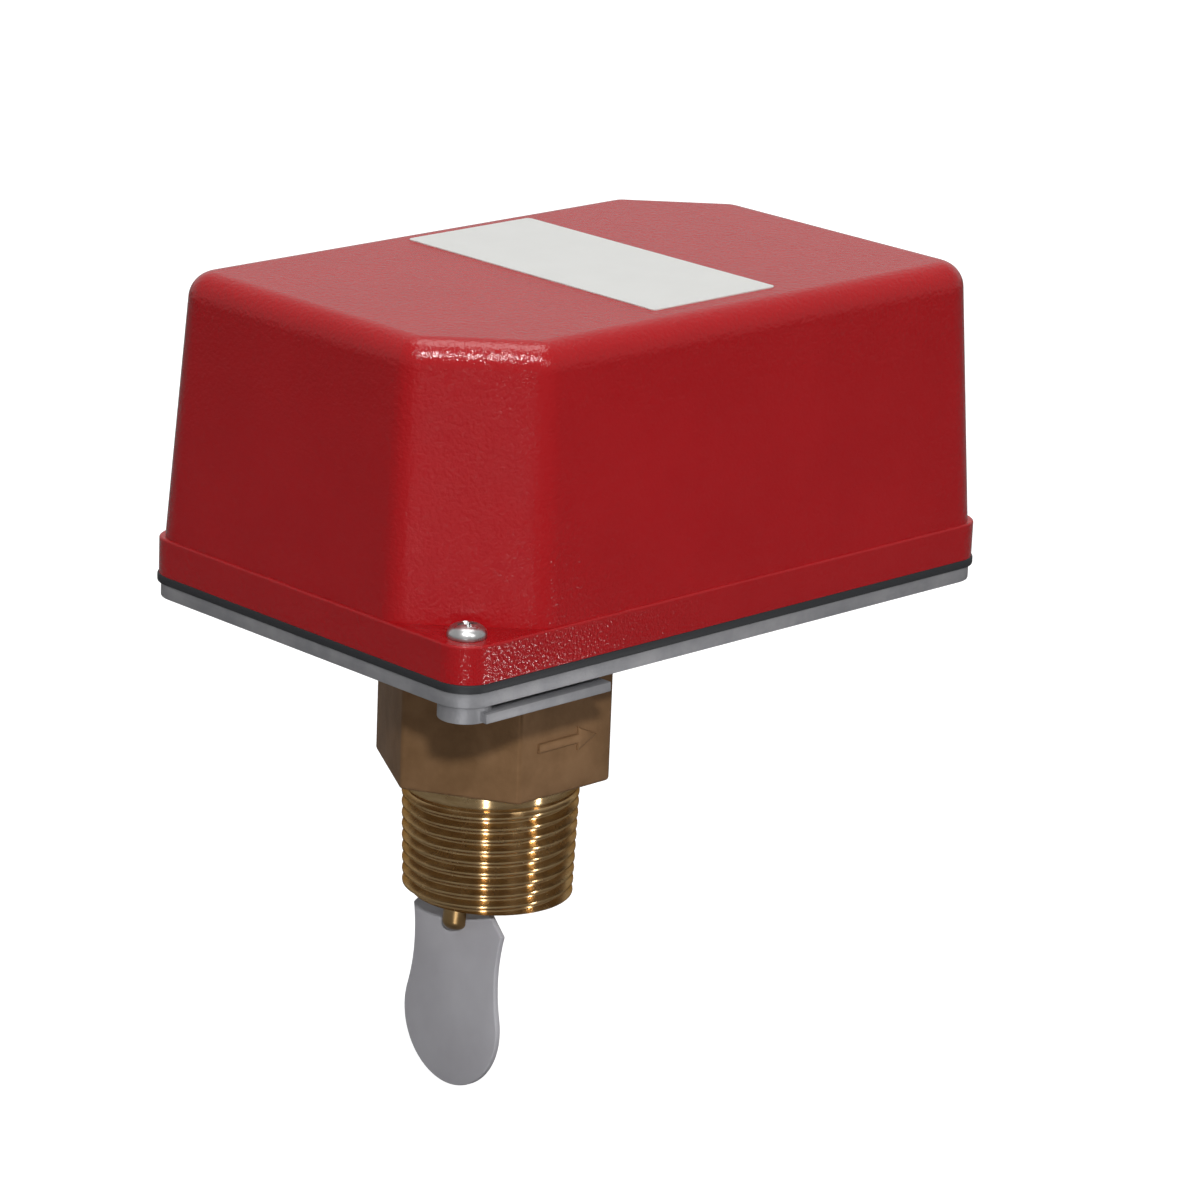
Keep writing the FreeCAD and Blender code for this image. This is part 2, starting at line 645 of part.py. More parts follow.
def make_stem():
    """A round brass rod with a domed end and a flat, which the paddle is screwed to."""
    top = dim("stem_socket") - dim("block_low")
    rod = cylinder("StemRod", dim("stem_round"), dim("stem_long") + top, z=-dim("stem_long"))
    domed = soften("StemDomed", rod, 1.6, at_level(-DRIVING_DIMENSIONS["stem_long"]))
    place(domed, z=dim("pivot_z"), axis=(0, 1, 0), angle=DRIVING_DIMENSIONS["rest_lean"])
    side = 12.0
    flat = box("StemFlat", side, side, side)
    flat.Placement = paddle_frame(0, -side / 2, DRIVING_DIMENSIONS["paddle_top"] + 0.3 - side)
    tap = cylinder("StemTap", 1.25, 3.0)
    tap.Placement = paddle_frame(1.2, 0, DRIVING_DIMENSIONS["paddle_screw_high"]) * FACING_UPSTREAM
    return cut("stem", cut("StemFlattened", domed, flat), tap)


FACING_UPSTREAM = Placement(Vector(0, 0, 0), Rotation(Vector(0, 1, 0), -90))
FACING_DOWNSTREAM = Placement(Vector(0, 0, 0), Rotation(Vector(0, 1, 0), 90))


def paddle_frame(x, y, z):
    """A placement at a point of the paddle, from the foot of its upstream face."""
    corner = Vector(DRIVING_DIMENSIONS["paddle_face_x"], 0, DRIVING_DIMENSIONS["paddle_face_z"])
    frame = Placement(corner, Rotation(Vector(0, 1, 0), DRIVING_DIMENSIONS["paddle_hang"]))
    return frame * Placement(Vector(x, y, z), Rotation())


def make_paddle():
    """A thin moulded vane: chamfered shoulders, a slight waist and a full round blade."""
    body = new_body("paddle")
    neck, top = dim("paddle_neck"), dim("paddle_top")
    shoulder = dim("shoulder_high")
    across, along = dim("waist_center_y"), dim("waist_center_high")
    blade, radius = dim("blade_high"), dim("blade_round")

    # where the arcs start, so that the sketch solver has a close first guess
    rise_between = along.value - blade.value
    span = math.hypot(across.value, rise_between)
    sweep = span - radius.value
    meet = math.atan2(rise_between, across.value)
    shoulder_turn = math.asin((shoulder.value - along.value) / sweep)
    shoulder_y = across.value - sweep * math.cos(shoulder_turn)

    outline = sketch_on(body, "PaddleOutline", role="YZ_Plane")
    up = Vector(0, 0, 1)
    right_arc = Part.Circle(Vector(across.value, along.value, 0), up, sweep)
    left_arc = Part.Circle(Vector(-across.value, along.value, 0), up, sweep)
    round_end = Part.Circle(Vector(0, blade.value, 0), up, radius.value)
    shoulder_right = Vector(shoulder_y, shoulder.value, 0)
    shoulder_left = Vector(-shoulder_y, shoulder.value, 0)
    neck_right = Vector(neck.value, top.value, 0)
    neck_left = Vector(-neck.value, top.value, 0)
    outline.addGeometry([
        Part.LineSegment(neck_left, neck_right),
        Part.LineSegment(neck_right, shoulder_right),
        Part.ArcOfCircle(right_arc, math.pi - shoulder_turn, math.pi + meet),
        Part.ArcOfCircle(round_end, math.pi - meet, 2 * math.pi + meet),
        Part.ArcOfCircle(left_arc, -meet, shoulder_turn),
        Part.LineSegment(shoulder_left, neck_left),
    ])
    for joined in ((0, 2, 1, 1), (1, 2, 2, 1), (4, 2, 5, 1), (5, 2, 0, 1)):
        outline.addConstraint(Sketcher.Constraint("Coincident", *joined))
    outline.addConstraint(Sketcher.Constraint("Tangent", 2, 2, 3, 2))
    outline.addConstraint(Sketcher.Constraint("Tangent", 3, 1, 4, 1))
    pin_down(outline, 0, 1, -neck, top)
    pin_down(outline, 0, 2, neck, top)
    pin_down(outline, 2, 3, across, along)
    pin_down(outline, 4, 3, -across, along)
    pin_down(outline, 3, 3, ZERO, blade)
    for arc, point in ((2, 1), (4, 2)):
        held = outline.addConstraint(Sketcher.Constraint("DistanceY", -1, 1, arc, point, shoulder.value))
        outline.renameConstraint(held, "Shoulder_%d" % arc)
        outline.setExpression("Constraints.Shoulder_%d" % arc, shoulder.formula)
    held = outline.addConstraint(Sketcher.Constraint("Radius", 3, radius.value))
    outline.renameConstraint(held, "BladeRound")
    outline.setExpression("Constraints.BladeRound", radius.formula)
    pad(body, outline, dim("paddle_thick"))

    hole = sketch_on(body, "PaddleScrewHole", role="YZ_Plane", level=dim("paddle_thick"))
    circle(hole, ZERO, dim("paddle_screw_high"), dim("paddle_screw_hole"))
    pocket(body, hole)
    return hang_paddle(body)


def make_paddle_screw():
    whole = screw("paddle_screw", ZERO, ZERO, ZERO, 2.6, 1.6, 1.2, 2.8)
    head = paddle_frame(DRIVING_DIMENSIONS["paddle_thick"], 0, DRIVING_DIMENSIONS["paddle_screw_high"])
    whole.Placement = head * FACING_DOWNSTREAM
    return whole


def make_trip_lever():
    """A flat plate up from the pivot: broad where it meets the buttons, narrow above for the delay."""
    body = new_body("trip_lever")
    narrow, broad = dim("lever_narrow"), dim("lever_broad")
    foot, low, high, top = dim("lever_foot"), dim("lever_step_low"), dim("lever_step_high"), dim("lever_high")
    back = -dim("block_half_x") - dim("lever_thick")
    outline = sketch_on(body, "LeverOutline", role="YZ_Plane", level=back)
    polygon(outline, [
        (-narrow, foot), (narrow, foot), (narrow, low), (broad, low), (broad, high), (narrow, high),
        (narrow - 1.5, top), (-narrow + 1.5, top), (-narrow, high), (-broad, high), (-broad, low), (-narrow, low),
    ])
    plate = pad(body, outline, dim("lever_thick"))
    round_edges(body, plate, 1.2, lambda edge: straight(edge) and edge.Length < dim("lever_thick").value + 0.1)
    holes = sketch_on(body, "LeverHoles", role="YZ_Plane", level=-dim("block_half_x"))
    for y in LEVER_SCREWS_Y:
        circle(holes, y, dim("lever_screw_high"), 0.95)
    pocket(body, holes)
    return lean(body)


def make_lever_screws():
    """Two small screws that hold the lever to the block, on its upstream side."""
    back = DRIVING_DIMENSIONS["block_half_x"] + DRIVING_DIMENSIONS["lever_thick"]
    hung = Placement(Vector(0, 0, DRIVING_DIMENSIONS["pivot_z"]),
                     Rotation(Vector(0, 1, 0), DRIVING_DIMENSIONS["rest_lean"]))
    screws = []
    for i, y in enumerate(LEVER_SCREWS_Y, start=1):
        one = fuse("LeverScrew%d" % i, [
            cylinder("LeverScrewHead%d" % i, 1.7, 0.9),
            cylinder("LeverScrewShank%d" % i, 0.8, 3.8, z=-3.8),
        ])
        spot = Placement(Vector(-back, y, DRIVING_DIMENSIONS["lever_screw_high"]), Rotation())
        one.Placement = hung * spot * FACING_UPSTREAM
        screws.append(one)
    return group("lever_screws", screws)


# ---------------------------------------------------------------- pivot bracket, pin, clip, spring, seal

def make_pivot_bracket():
    """A pressed plate on the base that clamps the seal and carries the pivot pin between two ears."""
    body = new_body("pivot_bracket")
    disc = sketch_on(body, "BracketDisc", level=dim("base_top_z"))
    circle(disc, ZERO, ZERO, dim("bracket_round"))
    circle(disc, ZERO, ZERO, dim("bracket_hole"))
    pad(body, disc, dim("bracket_thick"))
    plate_top = dim("base_top_z") + dim("bracket_thick")
    for sign, name in ((-1, "FrontEar"), (1, "BackEar")):
        # the sketch faces -Y, so a level is the distance towards the front
        level = dim("ear_inner") + dim("ear_thick") if sign < 0 else -dim("ear_inner")
        ear = sketch_on(body, name, role="XZ_Plane", level=level)
        polygon(ear, [(-7.5, plate_top - 0.2), (7.5, plate_top - 0.2), (4.6, dim("pivot_z") + 3.6),
                      (2.6, dim("pivot_z") + 4.6), (-2.6, dim("pivot_z") + 4.6), (-4.6, dim("pivot_z") + 3.6)])
        pad(body, ear, dim("ear_thick"), down=True)
    pin_hole = sketch_on(body, "PinHole", role="XZ_Plane", level=dim("ear_inner") + dim("ear_thick"))
    circle(pin_hole, ZERO, dim("pivot_z"), dim("pin_round") + 0.01)
    pocket(body, pin_hole)
    screw_hole = sketch_on(body, "BracketScrewHole", level=plate_top)
    circle(screw_hole, -dim("bushing_screw_circle"), ZERO, dim("bushing_screw_hole"))
    repeat_round(body, pocket(body, screw_hole), 3)
    return body


def make_bracket_screws():
    plate_top = dim("base_top_z") + dim("bracket_thick")
    screws = []
    for i in range(3):
        angle = math.radians(60 + 120 * i)
        x, y = dim("bushing_screw_circle") * math.cos(angle), dim("bushing_screw_circle") * math.sin(angle)
        screws.append(screw("BracketScrew%d" % (i + 1), x, y, plate_top, 3.2, 2.2, 1.7, 18.2))
    return group("bracket_screws", screws)


def make_pivot_pin():
    body = new_body("pivot_pin")
    profile = sketch_on(body, "PinProfile")
    outer_ear = dim("ear_inner") + dim("ear_thick")
    polygon(profile, [
        (ZERO, -outer_ear - 1.9), (1.2, -outer_ear - 1.9), (dim("pin_round"), -outer_ear - 1.6),
        (dim("pin_round"), -outer_ear - 1.0), (1.1, -outer_ear - 1.0), (1.1, -outer_ear - 0.2),
        (dim("pin_round"), -outer_ear - 0.2), (dim("pin_round"), outer_ear),
        (2.5, outer_ear), (2.5, outer_ear + 1.2), (ZERO, outer_ear + 1.2),
    ])
    revolve(body, profile)
    bind(body, "Placement.Base.z", dim("pivot_z"))
    return body


def make_pin_clip():
    """An open ring pushed sideways into the pin's groove."""
    body = new_body("pin_clip")
    face = sketch_on(body, "ClipOutline", role="XZ_Plane", level=dim("ear_inner") + dim("ear_thick") + 0.9)
    circle(face, ZERO, ZERO, 3.0)
    circle(face, ZERO, ZERO, 1.12)
    pad(body, face, 0.6, down=True)
    mouth = sketch_on(body, "ClipMouth", role="XZ_Plane", level=dim("ear_inner") + dim("ear_thick") + 0.9)
    rectangle(mouth, -0.95, 0.95, ZERO, 4.0)
    pocket(body, mouth)
    bind(body, "Placement.Base.z", dim("pivot_z"))
    return body


def make_return_spring():
    """A torsion spring on the pin: one leg on the bracket, the other hooked behind the lever.

    The close-wound coil is drawn as the sleeve that its turns fill.
    """
    body = new_body("SpringCoil")
    wire, turn = dim("spring_wire"), dim("spring_turn")
    low = dim("block_half_y") + 0.15
    face = sketch_on(body, "CoilOutline", role="XZ_Plane", level=-low)
    circle(face, ZERO, ZERO, turn + wire)
    circle(face, ZERO, ZERO, turn - wire)
    pad(body, face, dim("spring_coil_wide"), down=True)
    bind(body, "Placement.Base.z", dim("pivot_z"))
    leg = wire - 0.05
    first, last = low + wire, low + dim("spring_coil_wide") - wire
    down = cylinder("SpringFoot", leg, 3.4, turn, first, dim("pivot_z") - 3.4)
    up = cylinder("SpringLeg", leg, 7.4, ZERO - turn + 0.12, last, dim("pivot_z") - 0.3, axis=(0, 1, 0), angle=-18.0)
    tip = up.Placement.multVec(Vector(0, 0, 7.4))
    hook = cylinder("SpringHook", leg, 3.0)
    hook.Placement = Placement(tip + Vector(0, 0.15, -0.45), Rotation(Vector(1, 0, 0), 90))
    return fuse("return_spring", [body, down, up, hook])


def make_stem_seal():
    """A moulded rubber boot: flat rim, rolled web and a hub that grips the leaning stem."""
    body = new_body("SealMoulding")
    profile = sketch_on(body, "SealProfile", role="XZ_Plane")
    rim_top = dim("base_top_z")
    rim_low = rim_top - dim("seal_thick")
    low, web = dim("seal_hub_low_z"), dim("seal_hub_low_z") + 1.0
    wall = dim("stem_hole") - 0.2
    polygon(profile, [
        (ZERO, low), (wall, low), (wall, rim_low), (dim("seal_round"), rim_low), (dim("seal_round"), rim_top),
        (wall - 1.0, rim_top), (wall - 1.0, web), (dim("seal_hub"), web),
        (dim("seal_hub"), dim("seal_hub_top_z")), (ZERO, dim("seal_hub_top_z")),
    ])
    revolve(body, profile)
    passage = cylinder("SealPassage", dim("stem_round") + 0.02, 20.0)
    passage.Placement = Placement(Vector(0, 0, DRIVING_DIMENSIONS["pivot_z"]),
                                  Rotation(Vector(0, 1, 0), DRIVING_DIMENSIONS["rest_lean"] + 180))
    return cut("stem_seal", body, passage)


# ---------------------------------------------------------------- snap switches

SWITCH_SCREWS = ((17.0, 45.5), (17.0, 79.5))
TERMINAL_HEIGHTS = (48.0, 62.5, 77.0)


def switch_middle():
    return dim("card_thick") / 2 + dim("switch_wide") / 2


def make_switch(side, sign):
    body = new_body(side + "_switch")
    front, middle = dim("switch_x"), switch_middle()
    inner, outer = dim("card_thick") / 2, dim("card_thick") / 2 + dim("switch_wide")
    low, high = (inner, outer) if sign > 0 else (-outer, -inner)
    block = sketch_on(body, side + "SwitchOutline", level=dim("switch_low_z"))
    rectangle(block, front, front + dim("switch_deep"), low, high)
    solid = pad(body, block, dim("switch_tall"))
    round_edges(body, solid, 0.8, is_upright, kind="Chamfer")
    barrel = sketch_on(body, side + "Barrel", role="YZ_Plane", level=front)
    circle(barrel, middle * sign, dim("button_z"), dim("barrel_round"))
    pad(body, barrel, dim("barrel_long"), down=True)
    bore = sketch_on(body, side + "ButtonBore", role="YZ_Plane", level=front - dim("barrel_long"))
    circle(bore, middle * sign, dim("button_z"), dim("button_round") + dim("button_fit"))
    pocket(body, bore, dim("barrel_long"), up=True)
    screw_holes = sketch_on(body, side + "SwitchScrewHoles", role="XZ_Plane", level=outer + 1.0)
    for x, z in SWITCH_SCREWS:
        circle(screw_holes, x, z, 1.9)
    pocket(body, screw_holes)
    taps = sketch_on(body, side + "TerminalTaps", role="YZ_Plane", level=front + dim("switch_deep"))
    for z in TERMINAL_HEIGHTS:
        circle(taps, middle * sign, z, 1.65)
    pocket(body, taps, 5.0)
    return body


def make_switch_button(side, sign):
    """A short rod with a blunt cone at the end that meets the lever."""
    body = new_body(side + "_switch_button")
    profile = sketch_on(body, side + "ButtonProfile")
    tip, back = dim("button_tip_x"), dim("button_tip_x") + dim("button_long")
    polygon(profile, [
        (tip, ZERO), (tip, dim("button_round") - 1.0), (tip + 0.9, dim("button_round")),
        (back, dim("button_round")), (back, ZERO),
    ])
    revolve(body, profile, axis="H_Axis")
    bind(body, "Placement.Base.y", switch_middle() * sign)
    bind(body, "Placement.Base.z", dim("button_z"))
    return body


def make_insulation_card():
    body = new_body("insulation_card")
    margin, front = dim("card_margin"), dim("switch_x")
    card = sketch_on(body, "CardOutline", role="XZ_Plane", level=-dim("card_thick") / 2)
    rectangle(card, front - margin, front + dim("switch_deep") + margin,
              dim("switch_low_z") - margin, dim("switch_low_z") + dim("switch_tall") + margin)
    pad(body, card, dim("card_thick"))
    holes = sketch_on(body, "CardHoles", role="XZ_Plane", level=dim("card_thick"))
    for x, z in SWITCH_SCREWS:
        circle(holes, x, z, 1.9)
    pocket(body, holes)
    return body


def make_switch_bracket():
    body = new_body("switch_bracket")
    inside = dim("card_thick") / 2 + dim("switch_wide")
    thick = dim("switch_bracket_thick")
    low, left = dim("base_top_z"), dim("switch_bracket_x")
    angle = sketch_on(body, "AngleProfile", role="YZ_Plane", level=left)
    polygon(angle, [
        (inside, low), (dim("switch_foot_y"), low), (dim("switch_foot_y"), low + thick),
        (inside + thick, low + thick), (inside + thick, dim("switch_bracket_top_z")),
        (inside, dim("switch_bracket_top_z")),
    ])
    pressed = pad(body, angle, dim("switch_bracket_long"))
    round_edges(body, pressed, 1.4, lambda edge: straight(edge) and edge.Length > 19.0
                and abs(edge.Vertexes[0].Y - inside.value) < 0.01 and abs(edge.Vertexes[0].Z - low.value) < 0.01)
    feet = sketch_on(body, "FootHoles", level=low + thick)
    for x, y in SWITCH_FOOT_SCREWS:
        circle(feet, x, y, 1.8)
    pocket(body, feet, thick + 0.5)
    taps = sketch_on(body, "SwitchScrewTaps", role="XZ_Plane")
    for x, z in SWITCH_SCREWS:
        circle(taps, x, z, 1.75)
    pocket(body, taps)
    return body


def make_switch_bracket_screws():
    top = dim("base_top_z") + dim("switch_bracket_thick")
    return group("switch_bracket_screws", [
        screw("SwitchFootScrew%d" % i, x, y, top, 2.9, 2.0, 1.5, dim("switch_bracket_thick") + 3.3)
        for i, (x, y) in enumerate(SWITCH_FOOT_SCREWS, start=1)])


def make_switch_screws():
    """Two long screws through both switches and the card, into the bracket."""
    outer = dim("card_thick") / 2 + dim("switch_wide")
    reach = outer * 2 + dim("switch_bracket_thick") + 1.0
    return group("switch_screws", [
        screw("SwitchScrew%d" % i, x, -outer, z, 3.2, 2.0, 1.7, reach, axis=(1, 0, 0), angle=90.0)
        for i, (x, z) in enumerate(SWITCH_SCREWS, start=1)])


def make_switch_terminals():
    face = dim("switch_x") + dim("switch_deep")
    wide, tall = dim("terminal_wide"), dim("terminal_tall")
    plates = []
    for sign in (-1, 1):
        for z in TERMINAL_HEIGHTS:
            name = "Terminal%d" % (len(plates) + 1)
            plate = box(name + "Plate", dim("terminal_thick"), wide, tall,
                        face, switch_middle() * sign - wide / 2, as_size(z) - tall / 2)
            hole = cylinder(name + "Hole", 1.65, 6.0, face - 2.0, switch_middle() * sign, z,
                            axis=(0, 1, 0), angle=90.0)
            plates.append(cut(name, plate, hole))
    return group("switch_terminals", plates)


def make_terminal_screws():
    face = dim("switch_x") + dim("switch_deep") + dim("terminal_thick")
    screws = []
    for sign in (-1, 1):
        for z in TERMINAL_HEIGHTS:
            screws.append(screw("TerminalScrew%d" % (len(screws) + 1), face, switch_middle() * sign, z,
                                3.4, 2.5, 1.6, 5.0, axis=(0, 1, 0), angle=90.0))
    return group("terminal_screws", screws)


# ---------------------------------------------------------------- delay unit and earth screw

def make_delay_housing():
    """A foot, a pedestal and a cylinder across it, with a boss on top for the dial."""
    body = new_body("delay_housing")
    foot = sketch_on(body, "DelayFoot", level=dim("base_top_z"))
    rectangle(foot, dim("delay_foot_x"), dim("delay_foot_x") + dim("delay_foot_long"),
              -dim("delay_foot_half_y"), dim("delay_foot_half_y"))
    plate = pad(body, foot, dim("delay_foot_thick"))
    round_edges(body, plate, 3.0, is_upright)
    pedestal = sketch_on(body, "DelayPedestal", level=dim("base_top_z") + dim("delay_foot_thick"))
    rectangle(pedestal, dim("pedestal_x"), dim("pedestal_x") + dim("pedestal_long"),
              -dim("pedestal_half_y"), dim("pedestal_half_y"))
    pad(body, pedestal, dim("delay_z") - dim("base_top_z") - dim("delay_foot_thick"))
    barrel = sketch_on(body, "DelayCylinder", role="YZ_Plane", level=dim("delay_front_x"))
    circle(barrel, ZERO, dim("delay_z"), dim("delay_round"))
    pad(body, barrel, dim("delay_long"), down=True)
    boss = sketch_on(body, "DialBoss", level=dim("delay_z"))
    circle(boss, dim("dial_x"), ZERO, dim("dial_boss_round"))
    pad(body, boss, dim("dial_seat_z") - dim("delay_z"))
    bore = sketch_on(body, "RodBore", role="YZ_Plane", level=dim("delay_front_x"))
    circle(bore, ZERO, dim("delay_z"), dim("rod_round") + dim("rod_fit"))
    pocket(body, bore, dim("rod_bore_deep"))
    post_hole = sketch_on(body, "DialPostHole", level=dim("dial_seat_z"))
    circle(post_hole, dim("dial_x"), ZERO, dim("dial_post") + 0.05)
    pocket(body, post_hole, dim("dial_post_long") + 0.6)
    feet = sketch_on(body, "DelayFootHoles", level=dim("base_top_z") + dim("delay_foot_thick"))
    for x, y in DELAY_FOOT_SCREWS:
        circle(feet, x, y, 1.8)
    pocket(body, feet)
    return body


def make_delay_screws():
    top = dim("base_top_z") + dim("delay_foot_thick")
    return group("delay_screws", [
        screw("DelayScrew%d" % i, x, y, top, 3.0, 2.0, 1.5, dim("delay_foot_thick") + 3.3)
        for i, (x, y) in enumerate(DELAY_FOOT_SCREWS, start=1)])


def make_delay_dial():
    """A knob with a post below and a pointer slot across its top."""
    body = new_body("delay_dial")
    low = dim("dial_seat_z") + dim("dial_gap")
    knob = sketch_on(body, "DialKnob", level=low)
    circle(knob, dim("dial_x"), ZERO, dim("dial_round"))
    disc = pad(body, knob, dim("dial_tall"))
    round_edges(body, disc, 0.8, at_level(low.value + DRIVING_DIMENSIONS["dial_tall"]), kind="Chamfer")
    post = sketch_on(body, "DialPost", level=low)
    circle(post, dim("dial_x"), ZERO, dim("dial_post"))
    pad(body, post, dim("dial_post_long"), down=True)
    slot = sketch_on(body, "DialSlot", level=low + dim("dial_tall"))
    rectangle(slot, dim("dial_x") - 5.5, dim("dial_x") + 3.0, -0.8, 0.8)
    pocket(body, slot, 1.5)
    return body


def make_delay_plunger():
    body = new_body("delay_plunger")
    profile = sketch_on(body, "RodProfile")
    tip, back = dim("rod_tip_x"), dim("rod_tip_x") - dim("rod_long")
    shoulder = tip - dim("rod_head_long")
    polygon(profile, [
        (back, ZERO), (back, dim("rod_round") - 0.3), (back + 0.3, dim("rod_round")),
        (shoulder, dim("rod_round")), (shoulder, dim("rod_head_round")),
        (tip - 0.9, dim("rod_head_round")), (tip - 0.25, dim("rod_head_round") - 1.2), (tip, ZERO),
    ])
    revolve(body, profile, axis="H_Axis")
    bind(body, "Placement.Base.z", dim("delay_z"))
    return body


def make_earth_screw():
    x, y = EARTH_SCREW
    return screw("earth_screw", x, y, dim("base_top_z"), 4.0, 2.6, 2.0, 3.3)


# ---------------------------------------------------------------- build, check and write out

pieces = {
    "base_plate": make_base_plate(),
    "cover_gasket": make_cover_gasket(),
    "cover": make_cover(),
    "cover_screws": make_cover_screws(),
    "label_plate": make_label_plate(),
    "pipe_bushing": make_pipe_bushing(),
    "bushing_gasket": make_bushing_gasket(),
    "pivot_block": make_pivot_block(),
    "stem": make_stem(),
    "paddle": make_paddle(),
    "paddle_screw": make_paddle_screw(),
    "trip_lever": make_trip_lever(),
    "lever_screws": make_lever_screws(),
    "pivot_bracket": make_pivot_bracket(),
    "bracket_screws": make_bracket_screws(),
    "pivot_pin": make_pivot_pin(),
    "pin_clip": make_pin_clip(),
    "return_spring": make_return_spring(),
    "stem_seal": make_stem_seal(),
    "left_switch": make_switch("left", 1),
    "right_switch": make_switch("right", -1),
    "left_switch_button": make_switch_button("left", 1),
    "right_switch_button": make_switch_button("right", -1),
    "insulation_card": make_insulation_card(),
    "switch_bracket": make_switch_bracket(),
    "switch_bracket_screws": make_switch_bracket_screws(),
    "switch_screws": make_switch_screws(),
    "switch_terminals": make_switch_terminals(),
    "terminal_screws": make_terminal_screws(),
    "delay_housing": make_delay_housing(),
    "delay_screws": make_delay_screws(),
    "delay_dial": make_delay_dial(),
    "delay_plunger": make_delay_plunger(),
    "earth_screw": make_earth_screw(),
}
doc.recompute()

for thing in doc.Objects:
    if "Invalid" in thing.State or "Error" in thing.State:
        raise RuntimeError("%s did not compute: %s" % (thing.Name, thing.State))

os.makedirs("parts", exist_ok=True)
for name, piece in pieces.items():
    piece.Label = name
    shape = piece.Shape
    if shape.isNull() or not shape.isValid() or not shape.Solids:
        raise RuntimeError("%s has no sound solid" % name)
    shape.exportStep(os.path.join("parts", name + ".step"))
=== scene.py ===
import json
import math

import bmesh
import bpy
from mathutils import Matrix, Vector


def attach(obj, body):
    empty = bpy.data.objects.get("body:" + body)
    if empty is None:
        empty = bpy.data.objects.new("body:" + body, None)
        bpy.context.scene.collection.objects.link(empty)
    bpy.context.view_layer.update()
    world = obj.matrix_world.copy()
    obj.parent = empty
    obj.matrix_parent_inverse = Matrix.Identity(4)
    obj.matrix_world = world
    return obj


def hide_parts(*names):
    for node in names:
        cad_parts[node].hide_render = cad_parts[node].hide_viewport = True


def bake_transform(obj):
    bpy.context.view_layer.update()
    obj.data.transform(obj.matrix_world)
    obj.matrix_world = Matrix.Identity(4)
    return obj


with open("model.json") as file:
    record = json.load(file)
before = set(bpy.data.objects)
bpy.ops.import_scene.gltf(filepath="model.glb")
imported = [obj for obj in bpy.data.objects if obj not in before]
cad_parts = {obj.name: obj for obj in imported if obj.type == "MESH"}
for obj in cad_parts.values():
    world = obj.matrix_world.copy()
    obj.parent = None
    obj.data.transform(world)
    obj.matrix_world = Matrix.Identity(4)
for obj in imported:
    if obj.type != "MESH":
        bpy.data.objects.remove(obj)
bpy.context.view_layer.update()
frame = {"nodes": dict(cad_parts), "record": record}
nodes = frame["nodes"]

# Shapes are written in millimetres and degrees; the scene itself is in metres.
MM = 0.001
WELD = 0.0005 * MM


# ---------------------------------------------------------------- camera, light and floor

LENS, SENSOR = 145.44, 36.0
CAMERA_PLACE = (-0.58579, -0.62427, 0.3015)
CAMERA_HEADING, CAMERA_DOWN, CAMERA_TILT = 45.55, 17.41, 2.38

# Light from the room on the object, and the share of the floor's white that the camera sees.
ROOM_LIGHT = 0.12
FLOOR_GLOW = 0.97
FLOOR_GREY = 0.28
FLOOR_HEIGHT = -0.0625
FLOOR_REACH = 3.0

# The middle of the housing, which the lamps stand round and point at.
MIDDLE = (0.01, 0.0, 0.03)


def aim(thing, position, forward, roll=0.0):
    """Point a camera or lamp along a direction, tilted about it."""
    forward = forward.normalized()
    right = forward.cross(Vector((0, 0, 1))).normalized()
    up = right.cross(forward)
    turned_right = right * math.cos(roll) + up * math.sin(roll)
    turned_up = up * math.cos(roll) - right * math.sin(roll)
    axes = Matrix((turned_right, turned_up, -forward)).transposed()
    thing.matrix_world = Matrix.Translation(position) @ axes.to_4x4()


def add_camera():
    camera = bpy.data.objects.new("studio_camera", bpy.data.cameras.new("studio_camera"))
    camera.data.lens = LENS
    camera.data.sensor_width = SENSOR
    camera.data.clip_start = 0.01
    bpy.context.collection.objects.link(camera)
    heading, down = math.radians(CAMERA_HEADING), math.radians(CAMERA_DOWN)
    forward = Vector((math.cos(heading) * math.cos(down), math.sin(heading) * math.cos(down),
                      -math.sin(down)))
    aim(camera, Vector(CAMERA_PLACE), forward, math.radians(CAMERA_TILT))
    bpy.context.scene.camera = camera


def round_the_object(azimuth, elevation, distance):
    """A point so many metres from the middle; its azimuth runs from +X towards +Y."""
    heading, rise = math.radians(azimuth), math.radians(elevation)
    level = distance * math.cos(rise)
    return Vector((MIDDLE[0] + level * math.cos(heading), MIDDLE[1] + level * math.sin(heading),
                   MIDDLE[2] + distance * math.sin(rise)))


def add_lamp(name, place, size, power, mirrored=True, lights=True):
    """A round lamp, seen in glossy surfaces if mirrored and lighting matt ones if lights."""
    lamp = bpy.data.lights.new(name, "AREA")
    lamp.shape = "DISK"
    lamp.size = size
    lamp.energy = power
    holder = bpy.data.objects.new(name, lamp)
    bpy.context.collection.objects.link(holder)
    holder.visible_glossy = mirrored
    holder.visible_diffuse = lights
    holder.visible_camera = False
    position = round_the_object(*place)
    aim(holder, position, Vector(MIDDLE) - position)


def add_lamps():
    add_lamp("key", (229.0, 26.0, 1.5), 0.07, 11.8, mirrored=False)
    add_lamp("side", (262.0, 36.0, 1.3), 0.35, 2.2)
    add_lamp("overhead", (40.0, 80.0, 1.3), 0.80, 8.0)
    add_lamp("behind", (50.0, 42.0, 1.5), 0.70, 6.5, mirrored=False)
    add_lamp("high_strip", (222.0, 52.0, 1.3), 0.11, 12.0, lights=False)
    add_lamp("low_strip", (220.0, -23.0, 0.20), 0.016, 0.065, lights=False)
    add_lamp("glint", (221.0, -1.0, 1.3), 0.04, 0.40, lights=False)
    add_lamp("low_window", (285.0, -23.0, 0.20), 0.016, 0.07, lights=False)


